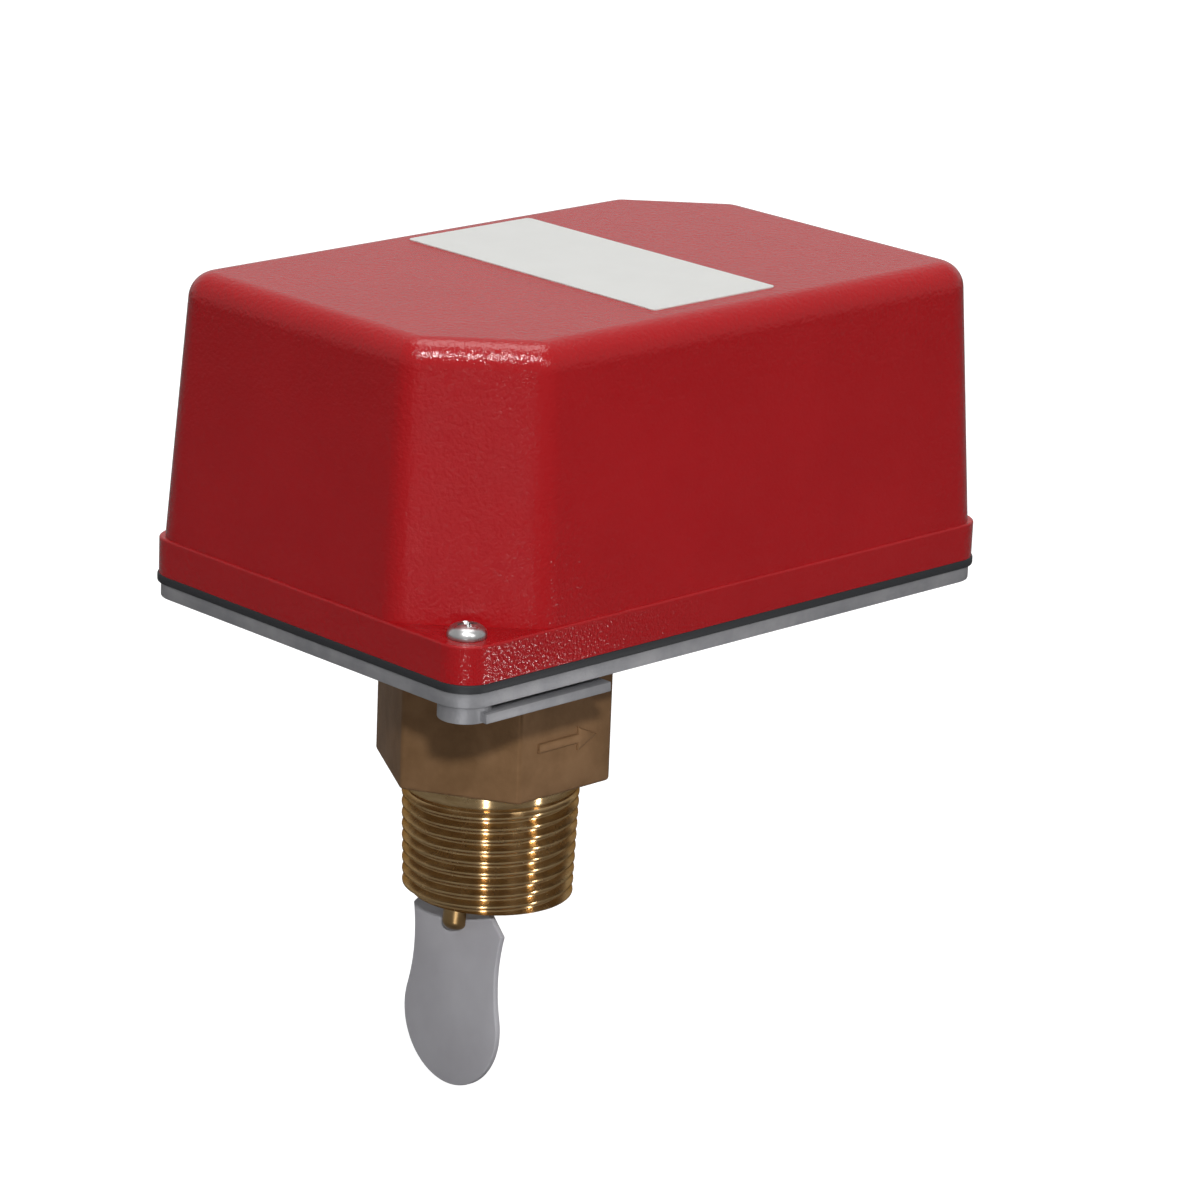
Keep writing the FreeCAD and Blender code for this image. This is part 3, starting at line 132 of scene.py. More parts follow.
def bright_rays(tree):
    """One where the camera looks straight or through glass, half in a reflection, else nought."""
    path = tree.nodes.new("ShaderNodeLightPath")
    half = tree.nodes.new("ShaderNodeMath")
    half.operation = "MULTIPLY"
    half.inputs[1].default_value = 0.5
    tree.links.new(path.outputs["Is Glossy Ray"], half.inputs[0])
    seen = half.outputs[0]
    for direct in ("Is Camera Ray", "Is Transmission Ray"):
        either = tree.nodes.new("ShaderNodeMath")
        either.operation = "MAXIMUM"
        tree.links.new(seen, either.inputs[0])
        tree.links.new(path.outputs[direct], either.inputs[1])
        seen = either.outputs[0]
    return seen


def add_world():
    """A white room to look at, whose own light on the object stays low."""
    world = bpy.data.worlds.new("white_room")
    bpy.context.scene.world = world
    world.use_nodes = True
    tree = world.node_tree
    tree.nodes.clear()
    white = tree.nodes.new("ShaderNodeBackground")
    white.inputs["Color"].default_value = (1.0, 1.0, 1.0, 1.0)
    white.inputs["Strength"].default_value = 1.0
    calm = tree.nodes.new("ShaderNodeBackground")
    calm.inputs["Color"].default_value = (1.0, 0.98, 0.96, 1.0)
    calm.inputs["Strength"].default_value = ROOM_LIGHT
    mix = tree.nodes.new("ShaderNodeMixShader")
    tree.links.new(bright_rays(tree), mix.inputs[0])
    tree.links.new(calm.outputs[0], mix.inputs[1])
    tree.links.new(white.outputs[0], mix.inputs[2])
    output = tree.nodes.new("ShaderNodeOutputWorld")
    tree.links.new(mix.outputs[0], output.inputs["Surface"])


def floor_finish():
    """A pale floor that reads as white where it is lit and keeps the object's shadow."""
    material = bpy.data.materials.new("pale_floor")
    material.use_nodes = True
    tree = material.node_tree
    tree.nodes.clear()
    cloth = tree.nodes.new("ShaderNodeBsdfDiffuse")
    cloth.inputs["Color"].default_value = (FLOOR_GREY, FLOOR_GREY, FLOOR_GREY, 1.0)
    glow = tree.nodes.new("ShaderNodeEmission")
    glow.inputs["Color"].default_value = (1.0, 1.0, 1.0, 1.0)
    path = tree.nodes.new("ShaderNodeLightPath")
    tree.links.new(path.outputs["Is Camera Ray"], glow.inputs["Strength"])
    lit = tree.nodes.new("ShaderNodeAddShader")
    tree.links.new(cloth.outputs[0], lit.inputs[0])
    tree.links.new(glow.outputs[0], lit.inputs[1])
    plain = tree.nodes.new("ShaderNodeMixShader")
    plain.inputs[0].default_value = FLOOR_GLOW
    tree.links.new(cloth.outputs[0], plain.inputs[1])
    tree.links.new(lit.outputs[0], plain.inputs[2])
    output = tree.nodes.new("ShaderNodeOutputMaterial")
    tree.links.new(plain.outputs[0], output.inputs["Surface"])
    return material


def add_floor():
    build = bmesh.new()
    bmesh.ops.create_grid(build, x_segments=1, y_segments=1, size=FLOOR_REACH)
    bmesh.ops.translate(build, verts=build.verts, vec=(0, 0, FLOOR_HEIGHT))
    mesh = bpy.data.meshes.new("floor")
    build.to_mesh(mesh)
    build.free()
    mesh.materials.append(floor_finish())
    floor = bpy.data.objects.new("floor", mesh)
    bpy.context.collection.objects.link(floor)


bpy.context.scene.view_settings.view_transform = "Standard"
add_camera()
add_world()
add_floor()
add_lamps()


# ---------------------------------------------------------------- making pieces

def start_turned(profile, steps=64):
    """A mesh turned about the upright axis from (radius, height) points."""
    build = bmesh.new()
    points = [build.verts.new((radius * MM, 0, height * MM)) for radius, height in profile]
    for first, second in zip(points, points[1:]):
        build.edges.new((first, second))
    bmesh.ops.spin(build, geom=build.verts[:] + build.edges[:], cent=(0, 0, 0), axis=(0, 0, 1),
                   angle=2 * math.pi, steps=steps, use_merge=True)
    bmesh.ops.remove_doubles(build, verts=build.verts, dist=0.001 * MM)
    return build


def start_copy(node):
    """The CAD node's own surface, with its loose triangles joined up."""
    build = bmesh.new()
    build.from_mesh(nodes[node].data)
    bmesh.ops.remove_doubles(build, verts=build.verts, dist=WELD)
    return build


def start_prism(outline, low, high):
    """A prism on an outline of (x, y) points, from one height to another."""
    build = bmesh.new()
    foot = build.faces.new([build.verts.new((x * MM, y * MM, low * MM)) for x, y in outline])
    raised = bmesh.ops.extrude_face_region(build, geom=[foot])["geom"]
    tops = [part for part in raised if isinstance(part, bmesh.types.BMVert)]
    bmesh.ops.translate(build, verts=tops, vec=(0, 0, (high - low) * MM))
    bmesh.ops.recalc_face_normals(build, faces=build.faces)
    return build


def hexagon_points(corner):
    """The corners of a hexagon so far from its middle, the first on +X."""
    angles = [math.radians(60 * i) for i in range(6)]
    return [(corner * math.cos(angle), corner * math.sin(angle)) for angle in angles]


def soften_edges(build, width, segments, choose, sharp=30.0):
    """Bevel those sharp edges that a test picks out."""
    edges = [edge for edge in build.edges if edge.calc_face_angle(0.0) > math.radians(sharp)]
    bmesh.ops.bevel(build, geom=[edge for edge in edges if choose(edge)], offset=width * MM,
                    offset_type="OFFSET", segments=segments, profile=0.5, affect="EDGES",
                    material=-1, clamp_overlap=True)


def on_top(height):
    """A test that picks the edges wholly above a height."""
    return lambda edge: min(vert.co.z for vert in edge.verts) > height * MM


def move(build, x=0.0, y=0.0, z=0.0, verts=None):
    bmesh.ops.translate(build, verts=verts or build.verts, vec=(x * MM, y * MM, z * MM))


def turn(build, degrees, axis, verts=None):
    bmesh.ops.rotate(build, verts=verts or build.verts, cent=(0, 0, 0),
                     matrix=Matrix.Rotation(math.radians(degrees), 3, axis))


def finished(build, name, crease=32.0):
    """Turn a mesh into an object: closed up, facing outwards, smooth but for its creases."""
    bmesh.ops.remove_doubles(build, verts=build.verts, dist=WELD)
    bmesh.ops.recalc_face_normals(build, faces=build.faces)
    for face in build.faces:
        face.smooth = True
    for edge in build.edges:
        edge.smooth = edge.calc_face_angle(0.0) < math.radians(crease)
    mesh = bpy.data.meshes.new(name)
    build.to_mesh(mesh)
    build.free()
    piece = bpy.data.objects.new(name, mesh)
    bpy.context.collection.objects.link(piece)
    return piece


def cut(piece, tool, operation="DIFFERENCE"):
    """Cut one object out of another, or join it on, and keep only the outcome."""
    change = piece.modifiers.new("cut", "BOOLEAN")
    change.operation = operation
    change.solver = "EXACT"
    change.object = tool
    bpy.context.view_layer.update()
    changed = piece.evaluated_get(bpy.context.evaluated_depsgraph_get())
    outcome = bpy.data.meshes.new_from_object(changed)
    piece.modifiers.clear()
    build = bmesh.new()
    build.from_mesh(outcome)
    name = piece.name
    bpy.data.objects.remove(piece)
    bpy.data.objects.remove(tool)
    return finished(build, name)


def fit(piece, finish, slot, body, *stands_for):
    """Give a finished piece its material and its place among the object's bodies."""
    piece.data.materials.clear()
    piece.data.materials.append(finish.material)
    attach(piece, body)
    if stands_for:
        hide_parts(*stands_for)
    return piece


# ---------------------------------------------------------------- finishes

class Finish:
    """A surface finish: one Principled shader with patterns that read Object coordinates."""

    def __init__(self, name, colour, **settings):
        self.material = bpy.data.materials.new(name)
        self.material.use_nodes = True
        self.tree = self.material.node_tree
        self.shader = self.tree.nodes["Principled BSDF"]
        self.shader.inputs["Base Color"].default_value = (*colour, 1.0)
        for socket, value in settings.items():
            self.shader.inputs[socket.replace("_", " ")].default_value = value
        self.place = self.tree.nodes.new("ShaderNodeTexCoord").outputs["Object"]
        self.last_bump = None

    def noise(self, scale, detail=3.0, stretch=None):
        """A cloudy pattern in patches 1/scale metres across, drawn in along the stretched axes."""
        pattern = self.tree.nodes.new("ShaderNodeTexNoise")
        pattern.inputs["Scale"].default_value = scale
        pattern.inputs["Detail"].default_value = detail
        pattern.inputs["Roughness"].default_value = 0.55
        place = self.place
        if stretch:
            mapping = self.tree.nodes.new("ShaderNodeMapping")
            mapping.inputs["Scale"].default_value = stretch
            self.tree.links.new(self.place, mapping.inputs["Vector"])
            place = mapping.outputs["Vector"]
        self.tree.links.new(place, pattern.inputs["Vector"])
        return pattern.outputs["Fac"]

    def blend(self, socket, low, high, pattern):
        """Drive a socket between two colours, or two grey levels, as the pattern rises."""
        ramp = self.tree.nodes.new("ShaderNodeValToRGB")
        for element, position, level in zip(ramp.color_ramp.elements, (0.35, 0.65), (low, high)):
            element.position = position
            element.color = (*level, 1.0)
        self.tree.links.new(pattern, ramp.inputs["Fac"])
        self.tree.links.new(ramp.outputs["Color"], self.shader.inputs[socket])
        return self

    def colour(self, low, high, scale, **noise):
        return self.blend("Base Color", low, high, self.noise(scale, **noise))

    def roughness(self, low, high, scale):
        return self.blend("Roughness", (low,) * 3, (high,) * 3, self.noise(scale))

    def bump(self, scale, height, **noise):
        """Raise the surface by up to a height, in patches 1/scale metres across."""
        bump = self.tree.nodes.new("ShaderNodeBump")
        bump.inputs["Distance"].default_value = height * MM
        self.tree.links.new(self.noise(scale, **noise), bump.inputs["Height"])
        if self.last_bump:
            self.tree.links.new(self.last_bump.outputs["Normal"], bump.inputs["Normal"])
        self.tree.links.new(bump.outputs["Normal"], self.shader.inputs["Normal"])
        self.last_bump = bump
        return self

    def turned_round_upright(self):
        """Tool marks round the upright axis, which draw a lamp's reflection out up and down."""
        upright = self.tree.nodes.new("ShaderNodeCombineXYZ")
        upright.inputs["Z"].default_value = 1.0
        self.tree.links.new(upright.outputs["Vector"], self.shader.inputs["Tangent"])
        return self


red_paint = Finish("red_paint", (0.42, 0.010, 0.015), Roughness=0.155, IOR=1.37)
red_paint.colour((0.41, 0.0058, 0.009), (0.43, 0.0066, 0.010), 60.0)
red_paint.bump(1400.0, 0.17, detail=2.0)
cast_metal = Finish("cast_metal", (0.30, 0.30, 0.315), Metallic=0.45, Roughness=0.55)
cast_metal.colour((0.267, 0.268, 0.283), (0.343, 0.339, 0.353), 180.0).bump(1500.0, 0.05)
black_rubber = Finish("black_rubber", (0.012, 0.013, 0.016), Roughness=0.6)
black_rubber.bump(900.0, 0.05)
dull_brass = Finish("dull_brass", (0.26, 0.145, 0.070), Metallic=0.15, Roughness=0.5, IOR=1.3,
                    Specular_Tint=(0.55, 0.42, 0.32, 1.0))
dull_brass.colour((0.214, 0.118, 0.055), (0.280, 0.158, 0.078), 150.0)
dull_brass.bump(1600.0, 0.03).bump(300.0, 0.06)
thread_brass = Finish("thread_brass", (0.48, 0.33, 0.165), Metallic=1.0, Roughness=0.25,
                      Anisotropic=0.95, Specular_Tint=(0.50, 0.34, 0.26, 1.0))
thread_brass.colour((0.42, 0.275, 0.130), (0.54, 0.385, 0.200), 220.0, stretch=(1, 1, 6))
thread_brass.roughness(0.22, 0.28, 300.0).turned_round_upright()
turned_brass = Finish("turned_brass", (0.30, 0.19, 0.085), Metallic=1.0, Roughness=0.36)
turned_brass.colour((0.25, 0.155, 0.066), (0.35, 0.23, 0.105), 200.0).roughness(0.30, 0.44, 260.0)
zinc = Finish("zinc_plate", (0.50, 0.50, 0.49), Metallic=1.0, Roughness=0.36)
zinc.colour((0.45, 0.45, 0.44), (0.55, 0.55, 0.54), 300.0)
zinc.roughness(0.30, 0.42, 240.0).bump(2200.0, 0.006)
bright_zinc = Finish("bright_zinc", (0.50, 0.50, 0.50), Metallic=1.0, Roughness=0.28)
bright_zinc.colour((0.45, 0.45, 0.45), (0.54, 0.54, 0.54), 500.0).roughness(0.24, 0.34, 400.0)
spring_steel = Finish("spring_steel", (0.42, 0.42, 0.43), Metallic=1.0, Roughness=0.30)
spring_steel.colour((0.36, 0.36, 0.37), (0.47, 0.47, 0.48), 600.0)
label_film = Finish("label_film", (0.64, 0.645, 0.625), Roughness=0.4)
label_film.colour((0.652, 0.655, 0.635), (0.668, 0.672, 0.652), 120.0).bump(400.0, 0.02)
vane_plastic = Finish("vane_plastic", (0.52, 0.51, 0.545), Roughness=0.5, IOR=1.3)
vane_plastic.colour((0.49, 0.481, 0.515), (0.552, 0.546, 0.58), 70.0).bump(900.0, 0.02)
black_moulding = Finish("black_moulding", (0.02, 0.02, 0.022), Roughness=0.42)
black_moulding.bump(1800.0, 0.02)
red_moulding = Finish("red_moulding", (0.45, 0.05, 0.04), Roughness=0.4)
red_moulding.bump(1800.0, 0.02)
ivory_moulding = Finish("ivory_moulding", (0.62, 0.60, 0.54), Roughness=0.42)
ivory_moulding.bump(1800.0, 0.02)
card_board = Finish("card_board", (0.42, 0.36, 0.22), Roughness=0.8)
card_board.colour((0.36, 0.31, 0.19), (0.46, 0.40, 0.26), 500.0)
green_plate = Finish("green_plate", (0.03, 0.20, 0.07), Roughness=0.35)
green_plate.bump(1800.0, 0.02)

FINISH_OF_SLOT = {
    "base": cast_metal, "cover_gasket": black_rubber, "cover": red_paint, "screws": zinc,
    "label": label_film, "bushing": dull_brass, "rubber": black_rubber, "plated_steel": zinc,
    "stainless": spring_steel, "brass": turned_brass, "paddle": vane_plastic,
    "switch_case": black_moulding, "button": red_moulding, "card": card_board,
    "delay_case": black_moulding, "dial": ivory_moulding, "plunger": zinc,
    "earth_screw": green_plate,
}

for part in frame["record"]["subparts"]:
    mesh = nodes[part["node"]].data
    mesh.materials.clear()
    mesh.materials.append(FINISH_OF_SLOT[part["material_slot"]].material)


# ---------------------------------------------------------------- hexagon bushing and its thread

PITCH = 2.209
THREAD_DEPTH = 1.35
THREAD_LOW, THREAD_FADE, THREAD_TOP = -24.2, -5.2, -2.2
THREAD_TURNS, THREAD_STEPS = 13, 72
CREST = 16.7
# The nipple narrows by one in thirty-two on the radius, from this height down.
TAPER, TAPER_TOP = 32.0, -5.0
# One thread, as shares of the pitch and of the depth.
THREAD_FORM = ((0.0, 1.0), (0.09, 0.97), (0.20, 0.72), (0.31, 0.30), (0.41, 0.03), (0.50, 0.0),
               (0.59, 0.03), (0.69, 0.30), (0.80, 0.72), (0.91, 0.97), (1.0, 1.0))
BORE, BORE_CHAMFER = 12.5, 0.9
HEXAGON_ACROSS, HEXAGON_TOP = 39.7, 27.6
# The arrow lies at this height on its flat, between these two distances from the axis.
ARROW_HEIGHT = 10.2
ARROW_ROOT, ARROW_FACE = 19.0, 20.4
ARROW_OUTLINE = ((-7.2, -0.9), (2.6, -0.9), (2.6, -2.3), (7.4, 0.0), (2.6, 2.3), (2.6, 0.9),
                 (-7.2, 0.9))


def thread_depth_at(height):
    """Full depth low down, running out to nothing below the hexagon."""
    fade = min(1.0, max(0.0, (THREAD_TOP - height) / (THREAD_TOP - THREAD_FADE)))
    return THREAD_DEPTH * fade


def make_nipple():
    """One thread form swept round in a helix, then drawn in to the taper and faced off below."""
    build = bmesh.new()
    start = THREAD_LOW - 3
    points = [build.verts.new(((CREST - deep) * MM, 0, (start + along * PITCH) * MM))
              for along, deep in THREAD_FORM]
    for first, second in zip(points, points[1:]):
        build.edges.new((first, second))
    bmesh.ops.spin(build, geom=build.verts[:] + build.edges[:], cent=(0, 0, 0), axis=(0, 0, 1),
                   dvec=(0, 0, PITCH / THREAD_STEPS * MM), angle=2 * math.pi * THREAD_TURNS,
                   steps=THREAD_TURNS * THREAD_STEPS, use_merge=False)
    bmesh.ops.remove_doubles(build, verts=build.verts, dist=0.002 * MM)
    for vert in build.verts:
        height = vert.co.z / MM
        depth = (CREST - vert.co.xy.length / MM) * thread_depth_at(height)
        crest = CREST - max(0.0, TAPER_TOP - height) / TAPER
        vert.co.xy *= (crest - depth) * MM / vert.co.xy.length
    for height, outer in ((THREAD_LOW, False), (1.0, True)):
        bmesh.ops.bisect_plane(build, geom=build.verts[:] + build.edges[:] + build.faces[:],
                               dist=0.0001 * MM, plane_co=(0, 0, height * MM),
                               plane_no=(0, 0, 1), clear_outer=outer, clear_inner=not outer)
    bmesh.ops.holes_fill(build, edges=[edge for edge in build.edges if edge.is_boundary])
    return finished(build, "pipe_bushing_dressed")


def is_hexagon_edge(edge):
    """The upright edges and the lower rim of the hexagon."""
    first, second = edge.verts
    upright = abs(first.co.z - second.co.z) > 20 * MM
    return upright or max(first.co.z, second.co.z) < 0.1 * MM


def make_hexagon():
    build = start_prism(hexagon_points(HEXAGON_ACROSS / math.sqrt(3)), 0.0, HEXAGON_TOP)
    soften_edges(build, 0.7, 3, is_hexagon_edge)
    return finished(build, "hexagon")


def make_flow_arrow():
    """A raised arrow on the front flat of the hexagon, pointing the way the water flows."""
    build = start_prism(ARROW_OUTLINE, ARROW_ROOT, ARROW_FACE)
    soften_edges(build, 0.3, 2, on_top(ARROW_FACE - 0.1))
    turn(build, 90.0, "X")
    move(build, z=ARROW_HEIGHT)
    return finished(build, "arrow")


def make_bushing():
    bushing = cut(make_nipple(), make_hexagon(), "UNION")
    bushing = cut(bushing, make_flow_arrow(), "UNION")
    wide = BORE + BORE_CHAMFER
    bore = start_turned(((0, -30), (wide, -30), (wide, THREAD_LOW - 0.01),
                         (BORE, THREAD_LOW + BORE_CHAMFER), (BORE, 30), (0, 30)))
    return cut(bushing, finished(bore, "bore"))


bushing = fit(make_bushing(), dull_brass, "bushing", "housing", "pipe_bushing")
bushing.data.materials.append(thread_brass.material)
for face in bushing.data.polygons:
    if face.center.z < -0.01 * MM:
        face.material_index = 1


# ---------------------------------------------------------------- screws

# The arm leans by this angle at rest, about a pin at this height.
LEAN = 6.5
PIVOT = 40.0
# Heights at which the screws' heads sit, and of the rows of those that lie down.
COVER_SEAT, BASE_SEAT, DELAY_SEAT, EARTH_SEAT = 43.2, 36.2, 37.6, 34.6
SWITCH_ROWS = (45.5, 79.5)
TERMINAL_ROWS = (48.0, 62.5, 77.0)
# Radius of the circle of screws round the bore.
BRACKET_CIRCLE = 17.6
# Half the section of a cover screw, as radius and height.
PAN_HEAD = ((0, 2.40), (1.2, 2.36), (2.3, 2.14), (3.0, 1.72), (3.45, 1.10), (3.6, 0.5),
            (3.55, 0.06), (3.4, 0.0), (1.7, 0.0), (1.7, -12.5), (1.2, -13.0), (0, -13.0))


def driver_cut(long, wide, low, high, degrees=0.0, taper=1.0):
    """A bar that cuts one slot of a screw's drive, narrower at its foot where it tapers."""
    bar = start_prism([(-long, -wide), (long, -wide), (long, wide), (-long, wide)], low, high)
    for vert in bar.verts:
        if vert.co.z < (low + high) / 2 * MM:
            vert.co.x *= taper
    turn(bar, degrees, "Z")
    return finished(bar, "driver_cut")


def make_screw(profile, slots, steps=40):
    """A turned screw with its bearing face at the origin and its slot or cross cut in."""
    screw = finished(start_turned(profile, steps), "screw")
    for slot in slots:
        screw = cut(screw, driver_cut(*slot))
    return screw


def copies_of(screw, name, spots):
    """One piece from copies at several spots: (x, y, z, twist about its own axis, tilt, axis)."""
    together = bmesh.new()
    for x, y, z, twist, tilt, about in spots:
        one = bmesh.new()
        one.from_mesh(screw.data)
        turn(one, twist, "Z")
        turn(one, tilt, about)
        move(one, x, y, z)
        loose = bpy.data.meshes.new("loose")
        one.to_mesh(loose)
        one.free()
        together.from_mesh(loose)
        bpy.data.meshes.remove(loose)
    bpy.data.objects.remove(screw)
    return finished(together, name)


def cheese_head(head_round, head_high, shank_round, shank_long):
    """Half the section of a screw with a flat-sided head, from its top centre to its tip."""
    edge = min(0.45, head_high / 3)
    return ((0, head_high), (head_round - 2 * edge, head_high),
            (head_round - 0.6 * edge, head_high - 0.25 * edge), (head_round, head_high - edge),
            (head_round, 0), (shank_round, 0), (shank_round, -shank_long + 0.4),
            (shank_round - 0.4, -shank_long), (0, -shank_long))


def make_cover_screws():
    """Two pan heads with a cross recess, turned as they happened to be tightened."""
    cross = [(2.0, 0.42, 0.9, 2.6, degrees, 0.5) for degrees in (0.0, 90.0)]
    return copies_of(make_screw(PAN_HEAD, cross, 48), "cover_screws_dressed",
                     ((-42.2, -37.6, COVER_SEAT, 62.0, 0, "X"),
                      (79.8, 37.6, COVER_SEAT, 20.0, 0, "X")))


def slotted(name, head_round, head_high, shank_round, shank_long, spots, slot_wide=0.45):
    """Cheese-headed screws with one slot each, named and set at their spots."""
    slot = (head_round + 1.0, slot_wide, head_high * 0.5, head_high + 1.0)
    section = cheese_head(head_round, head_high, shank_round, shank_long)
    return copies_of(make_screw(section, (slot,)), name, spots)


def make_earth_screw():
    """A hexagon head with a slot across it."""
    head = start_prism(hexagon_points(4.0), 0.0, 2.6)
    soften_edges(head, 0.35, 2, on_top(2.5))
    shank = start_turned(((0, 0.5), (2.0, 0.5), (2.0, -2.9), (1.6, -3.3), (0, -3.3)), 32)
    screw = cut(finished(head, "screw"), finished(shank, "shank"), "UNION")
    screw = cut(screw, driver_cut(5.0, 0.5, 1.5, 3.0))
    return copies_of(screw, "earth_screw_dressed", ((74.0, -29.0, EARTH_SEAT, 35.0, 0, "X"),))


def ring_spot(i):
    """One of three spots round the bore, on the foot of the pivot bracket."""
    angle = math.radians(60 + 120 * i)
    return (BRACKET_CIRCLE * math.cos(angle), BRACKET_CIRCLE * math.sin(angle), BASE_SEAT,
            25.0 + 50 * i, 0, "X")


def lever_spot(y, high=2.9, out=-5.5):
    """A spot so high up the leaning arm and so far out in front of it, across at y."""
    lean = math.radians(LEAN)
    return (out * math.cos(lean) + high * math.sin(lean), y,
            PIVOT - out * math.sin(lean) + high * math.cos(lean), 0, -90 + LEAN, "Y")


fit(make_cover_screws(), bright_zinc, "screws", "cover", "cover_screws")
fit(slotted("bracket_screws_dressed", 3.2, 2.2, 1.7, 18.2, [ring_spot(i) for i in range(3)]),
    bright_zinc, "screws", "housing", "bracket_screws")
fit(slotted("switch_bracket_screws_dressed", 2.9, 2.0, 1.5, 4.9,
            [(x, 29.0, BASE_SEAT, 30 + x, 0, "X") for x in (17.0, 29.0)]),
    bright_zinc, "screws", "housing", "switch_bracket_screws")
fit(slotted("delay_screws_dressed", 3.0, 2.0, 1.5, 6.3,
            [(-34.0, y, DELAY_SEAT, 40 + 3 * y, 0, "X") for y in (-15.0, 15.0)]),
    bright_zinc, "screws", "housing", "delay_screws")
fit(slotted("switch_screws_dressed", 3.2, 2.0, 1.7, 38.4,
            [(17.0, -17.9, z, z, 90, "X") for z in SWITCH_ROWS]),
    bright_zinc, "screws", "housing", "switch_screws")
fit(slotted("terminal_screws_dressed", 3.4, 2.5, 1.6, 5.0,
            [(34.2, 9.2 * sign, z, 2 * z * sign, 90, "Y") for sign in (-1, 1)
             for z in TERMINAL_ROWS], 0.55),
    bright_zinc, "screws", "housing", "terminal_screws")
fit(slotted("lever_screws_dressed", 1.7, 0.9, 0.8, 3.8, [lever_spot(y) for y in (-2.8, 2.8)],
            0.25),
    bright_zinc, "screws", "flow_arm", "lever_screws")
fit(make_earth_screw(), green_plate, "earth_screw", "housing", "earth_screw")


# ---------------------------------------------------------------- marks of the delay dial

def make_dial_marks():
    """Eleven raised marks, with the pointer's slot in the place of the twelfth."""
    inner, outer, half = 4.7, 6.4, 0.17
    mark = start_prism([(inner, -half), (outer, -half), (outer, half), (inner, half)], -0.1, 0.12)
    return copies_of(finished(mark, "mark"), "dial_marks",
                     [(-31.0, 0.0, 84.2, 30 * i - 150, 0, "X") for i in range(11)])


fit(make_dial_marks(), black_moulding, "dial", "delay_knob")


# ---------------------------------------------------------------- return spring and seal

# Radii of the wire and, to the wire's middle, of the coil.
WIRE, COIL = 0.30, 3.0
COIL_STEPS = 32
# The coil sits on the pin between these two, measured along it.
COIL_LOW, COIL_HIGH = 4.65 + WIRE, 4.65 + 2.2 - WIRE
LEG_LONG, LEG_LEAN = 7.4, 18.0
# Half the section of the seal, as radius and height.
SEAL_SECTION = ((2.6, 29.6), (4.6, 29.6), (5.1, 30.1), (5.3, 31.0), (7.2, 32.2), (8.6, 33.0),
                (9.6, 33.4), (15.0, 33.4), (15.0, 34.6), (9.2, 34.6), (8.0, 34.0), (6.2, 32.7),
                (5.0, 32.3), (4.8, 33.1), (4.4, 33.4), (2.6, 33.4), (2.6, 29.6))
# It leans with the stem inside the first radius and stands still outside the second.
SEAL_LEANS, SEAL_STILL = 5.6, 8.6


def add_bar(build, long, tilt, about, x, y, z):
    """A straight leg of the wire that starts at a point, upright until tilted about an axis."""
    radius = (WIRE - 0.02) * MM
    bar = bmesh.ops.create_cone(build, cap_ends=True, segments=12, radius1=radius,
                                radius2=radius, depth=long * MM)["verts"]
    move(build, z=long / 2, verts=bar)
    turn(build, tilt, about, bar)
    move(build, x, y, z, bar)


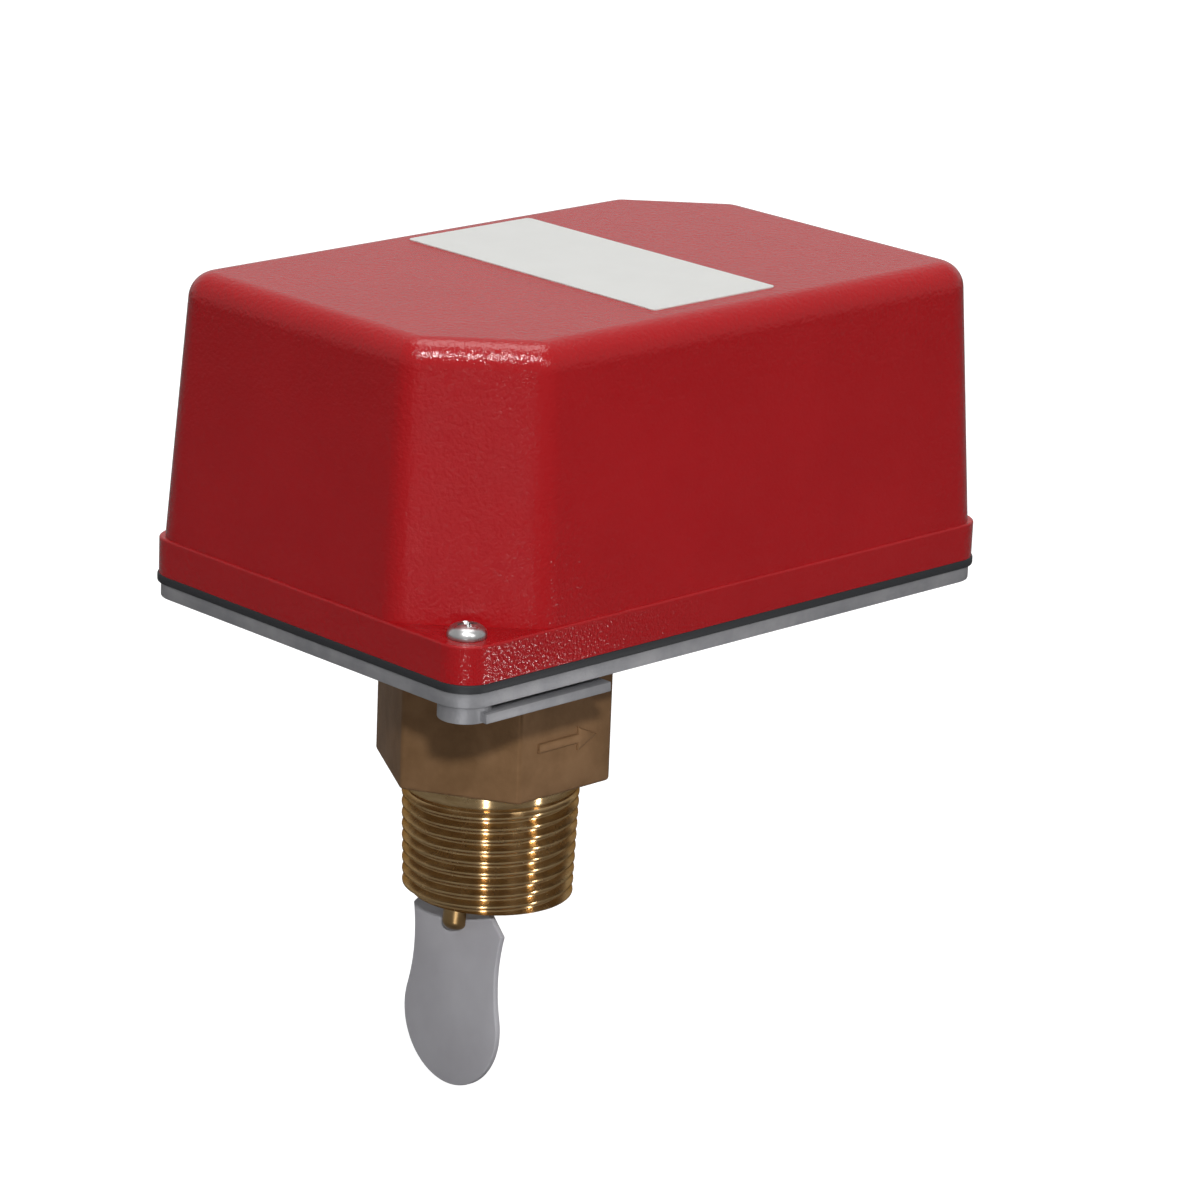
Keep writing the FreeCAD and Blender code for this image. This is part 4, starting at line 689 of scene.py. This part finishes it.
def make_spring():
    """Three and a half close turns on the pin, a leg down on the bracket and one up behind."""
    build = bmesh.new()
    stages = 3 * COIL_STEPS + COIL_STEPS // 2
    ring = bmesh.ops.create_circle(build, cap_ends=False, radius=WIRE * MM, segments=12)["verts"]
    turn(build, 90.0, "X", ring)
    move(build, x=COIL, verts=ring)
    bmesh.ops.spin(build, geom=build.verts[:] + build.edges[:], cent=(0, 0, 0), axis=(0, 0, 1),
                   dvec=(0, 0, (COIL_HIGH - COIL_LOW) / stages * MM), angle=7 * math.pi,
                   steps=stages, use_merge=False)
    bmesh.ops.holes_fill(build, edges=[edge for edge in build.edges if edge.is_boundary])
    turn(build, -90.0, "X")
    move(build, y=COIL_LOW, z=PIVOT)
    add_bar(build, 3.4, 180.0, "X", COIL, COIL_LOW, PIVOT)
    foot_x, foot_z = 0.12 - COIL, PIVOT - 0.3
    add_bar(build, LEG_LONG, -LEG_LEAN, "Y", foot_x, COIL_HIGH, foot_z)
    tip_x = foot_x - LEG_LONG * math.sin(math.radians(LEG_LEAN))
    tip_z = foot_z + LEG_LONG * math.cos(math.radians(LEG_LEAN))
    add_bar(build, 3.0, 90.0, "X", tip_x + 0.1, COIL_HIGH + 0.15, tip_z - 0.35)
    return finished(build, "return_spring_dressed", 50.0)


def make_seal():
    """A rubber boot: a clamped rim, a cone that folds down and a thick hub round the stem."""
    build = start_turned(SEAL_SECTION)
    for vert in build.verts:
        share = (SEAL_STILL - vert.co.xy.length / MM) / (SEAL_STILL - SEAL_LEANS)
        hold = min(1.0, max(0.0, share))
        vert.co.x += (vert.co.z - PIVOT * MM) * math.tan(math.radians(LEAN)) * hold
    return finished(build, "stem_seal_dressed")


spring = make_spring()
spring.data.materials.append(spring_steel.material)
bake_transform(spring)
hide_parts("return_spring")
seal = make_seal()
seal.data.materials.append(black_rubber.material)
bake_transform(seal)
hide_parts("stem_seal")


# ---------------------------------------------------------------- softened edges

def make_softened(node, width, segments=2):
    """A CAD piece with its sharp outer edges rounded, as a mould or a casting leaves them."""
    build = start_copy(node)
    bmesh.ops.dissolve_limit(build, angle_limit=math.radians(0.5), verts=build.verts,
                             edges=build.edges)
    soften_edges(build, width, segments, lambda edge: edge.is_convex, sharp=50.0)
    return finished(build, node + "_dressed")


fit(make_softened("paddle", 0.35, 3), vane_plastic, "paddle", "flow_arm", "paddle")
for node, width, finish, slot, body in (
        ("left_switch", 0.45, black_moulding, "switch_case", "housing"),
        ("right_switch", 0.45, black_moulding, "switch_case", "housing"),
        ("delay_housing", 0.5, black_moulding, "delay_case", "housing"),
        ("base_plate", 0.3, cast_metal, "base", "housing"),
        ("cover_gasket", 0.35, black_rubber, "cover_gasket", "housing"),
        ("trip_lever", 0.12, zinc, "plated_steel", "flow_arm"),
        ("pivot_bracket", 0.15, zinc, "plated_steel", "housing"),
        ("switch_bracket", 0.15, zinc, "plated_steel", "housing")):
    fit(make_softened(node, width), finish, slot, body, node)
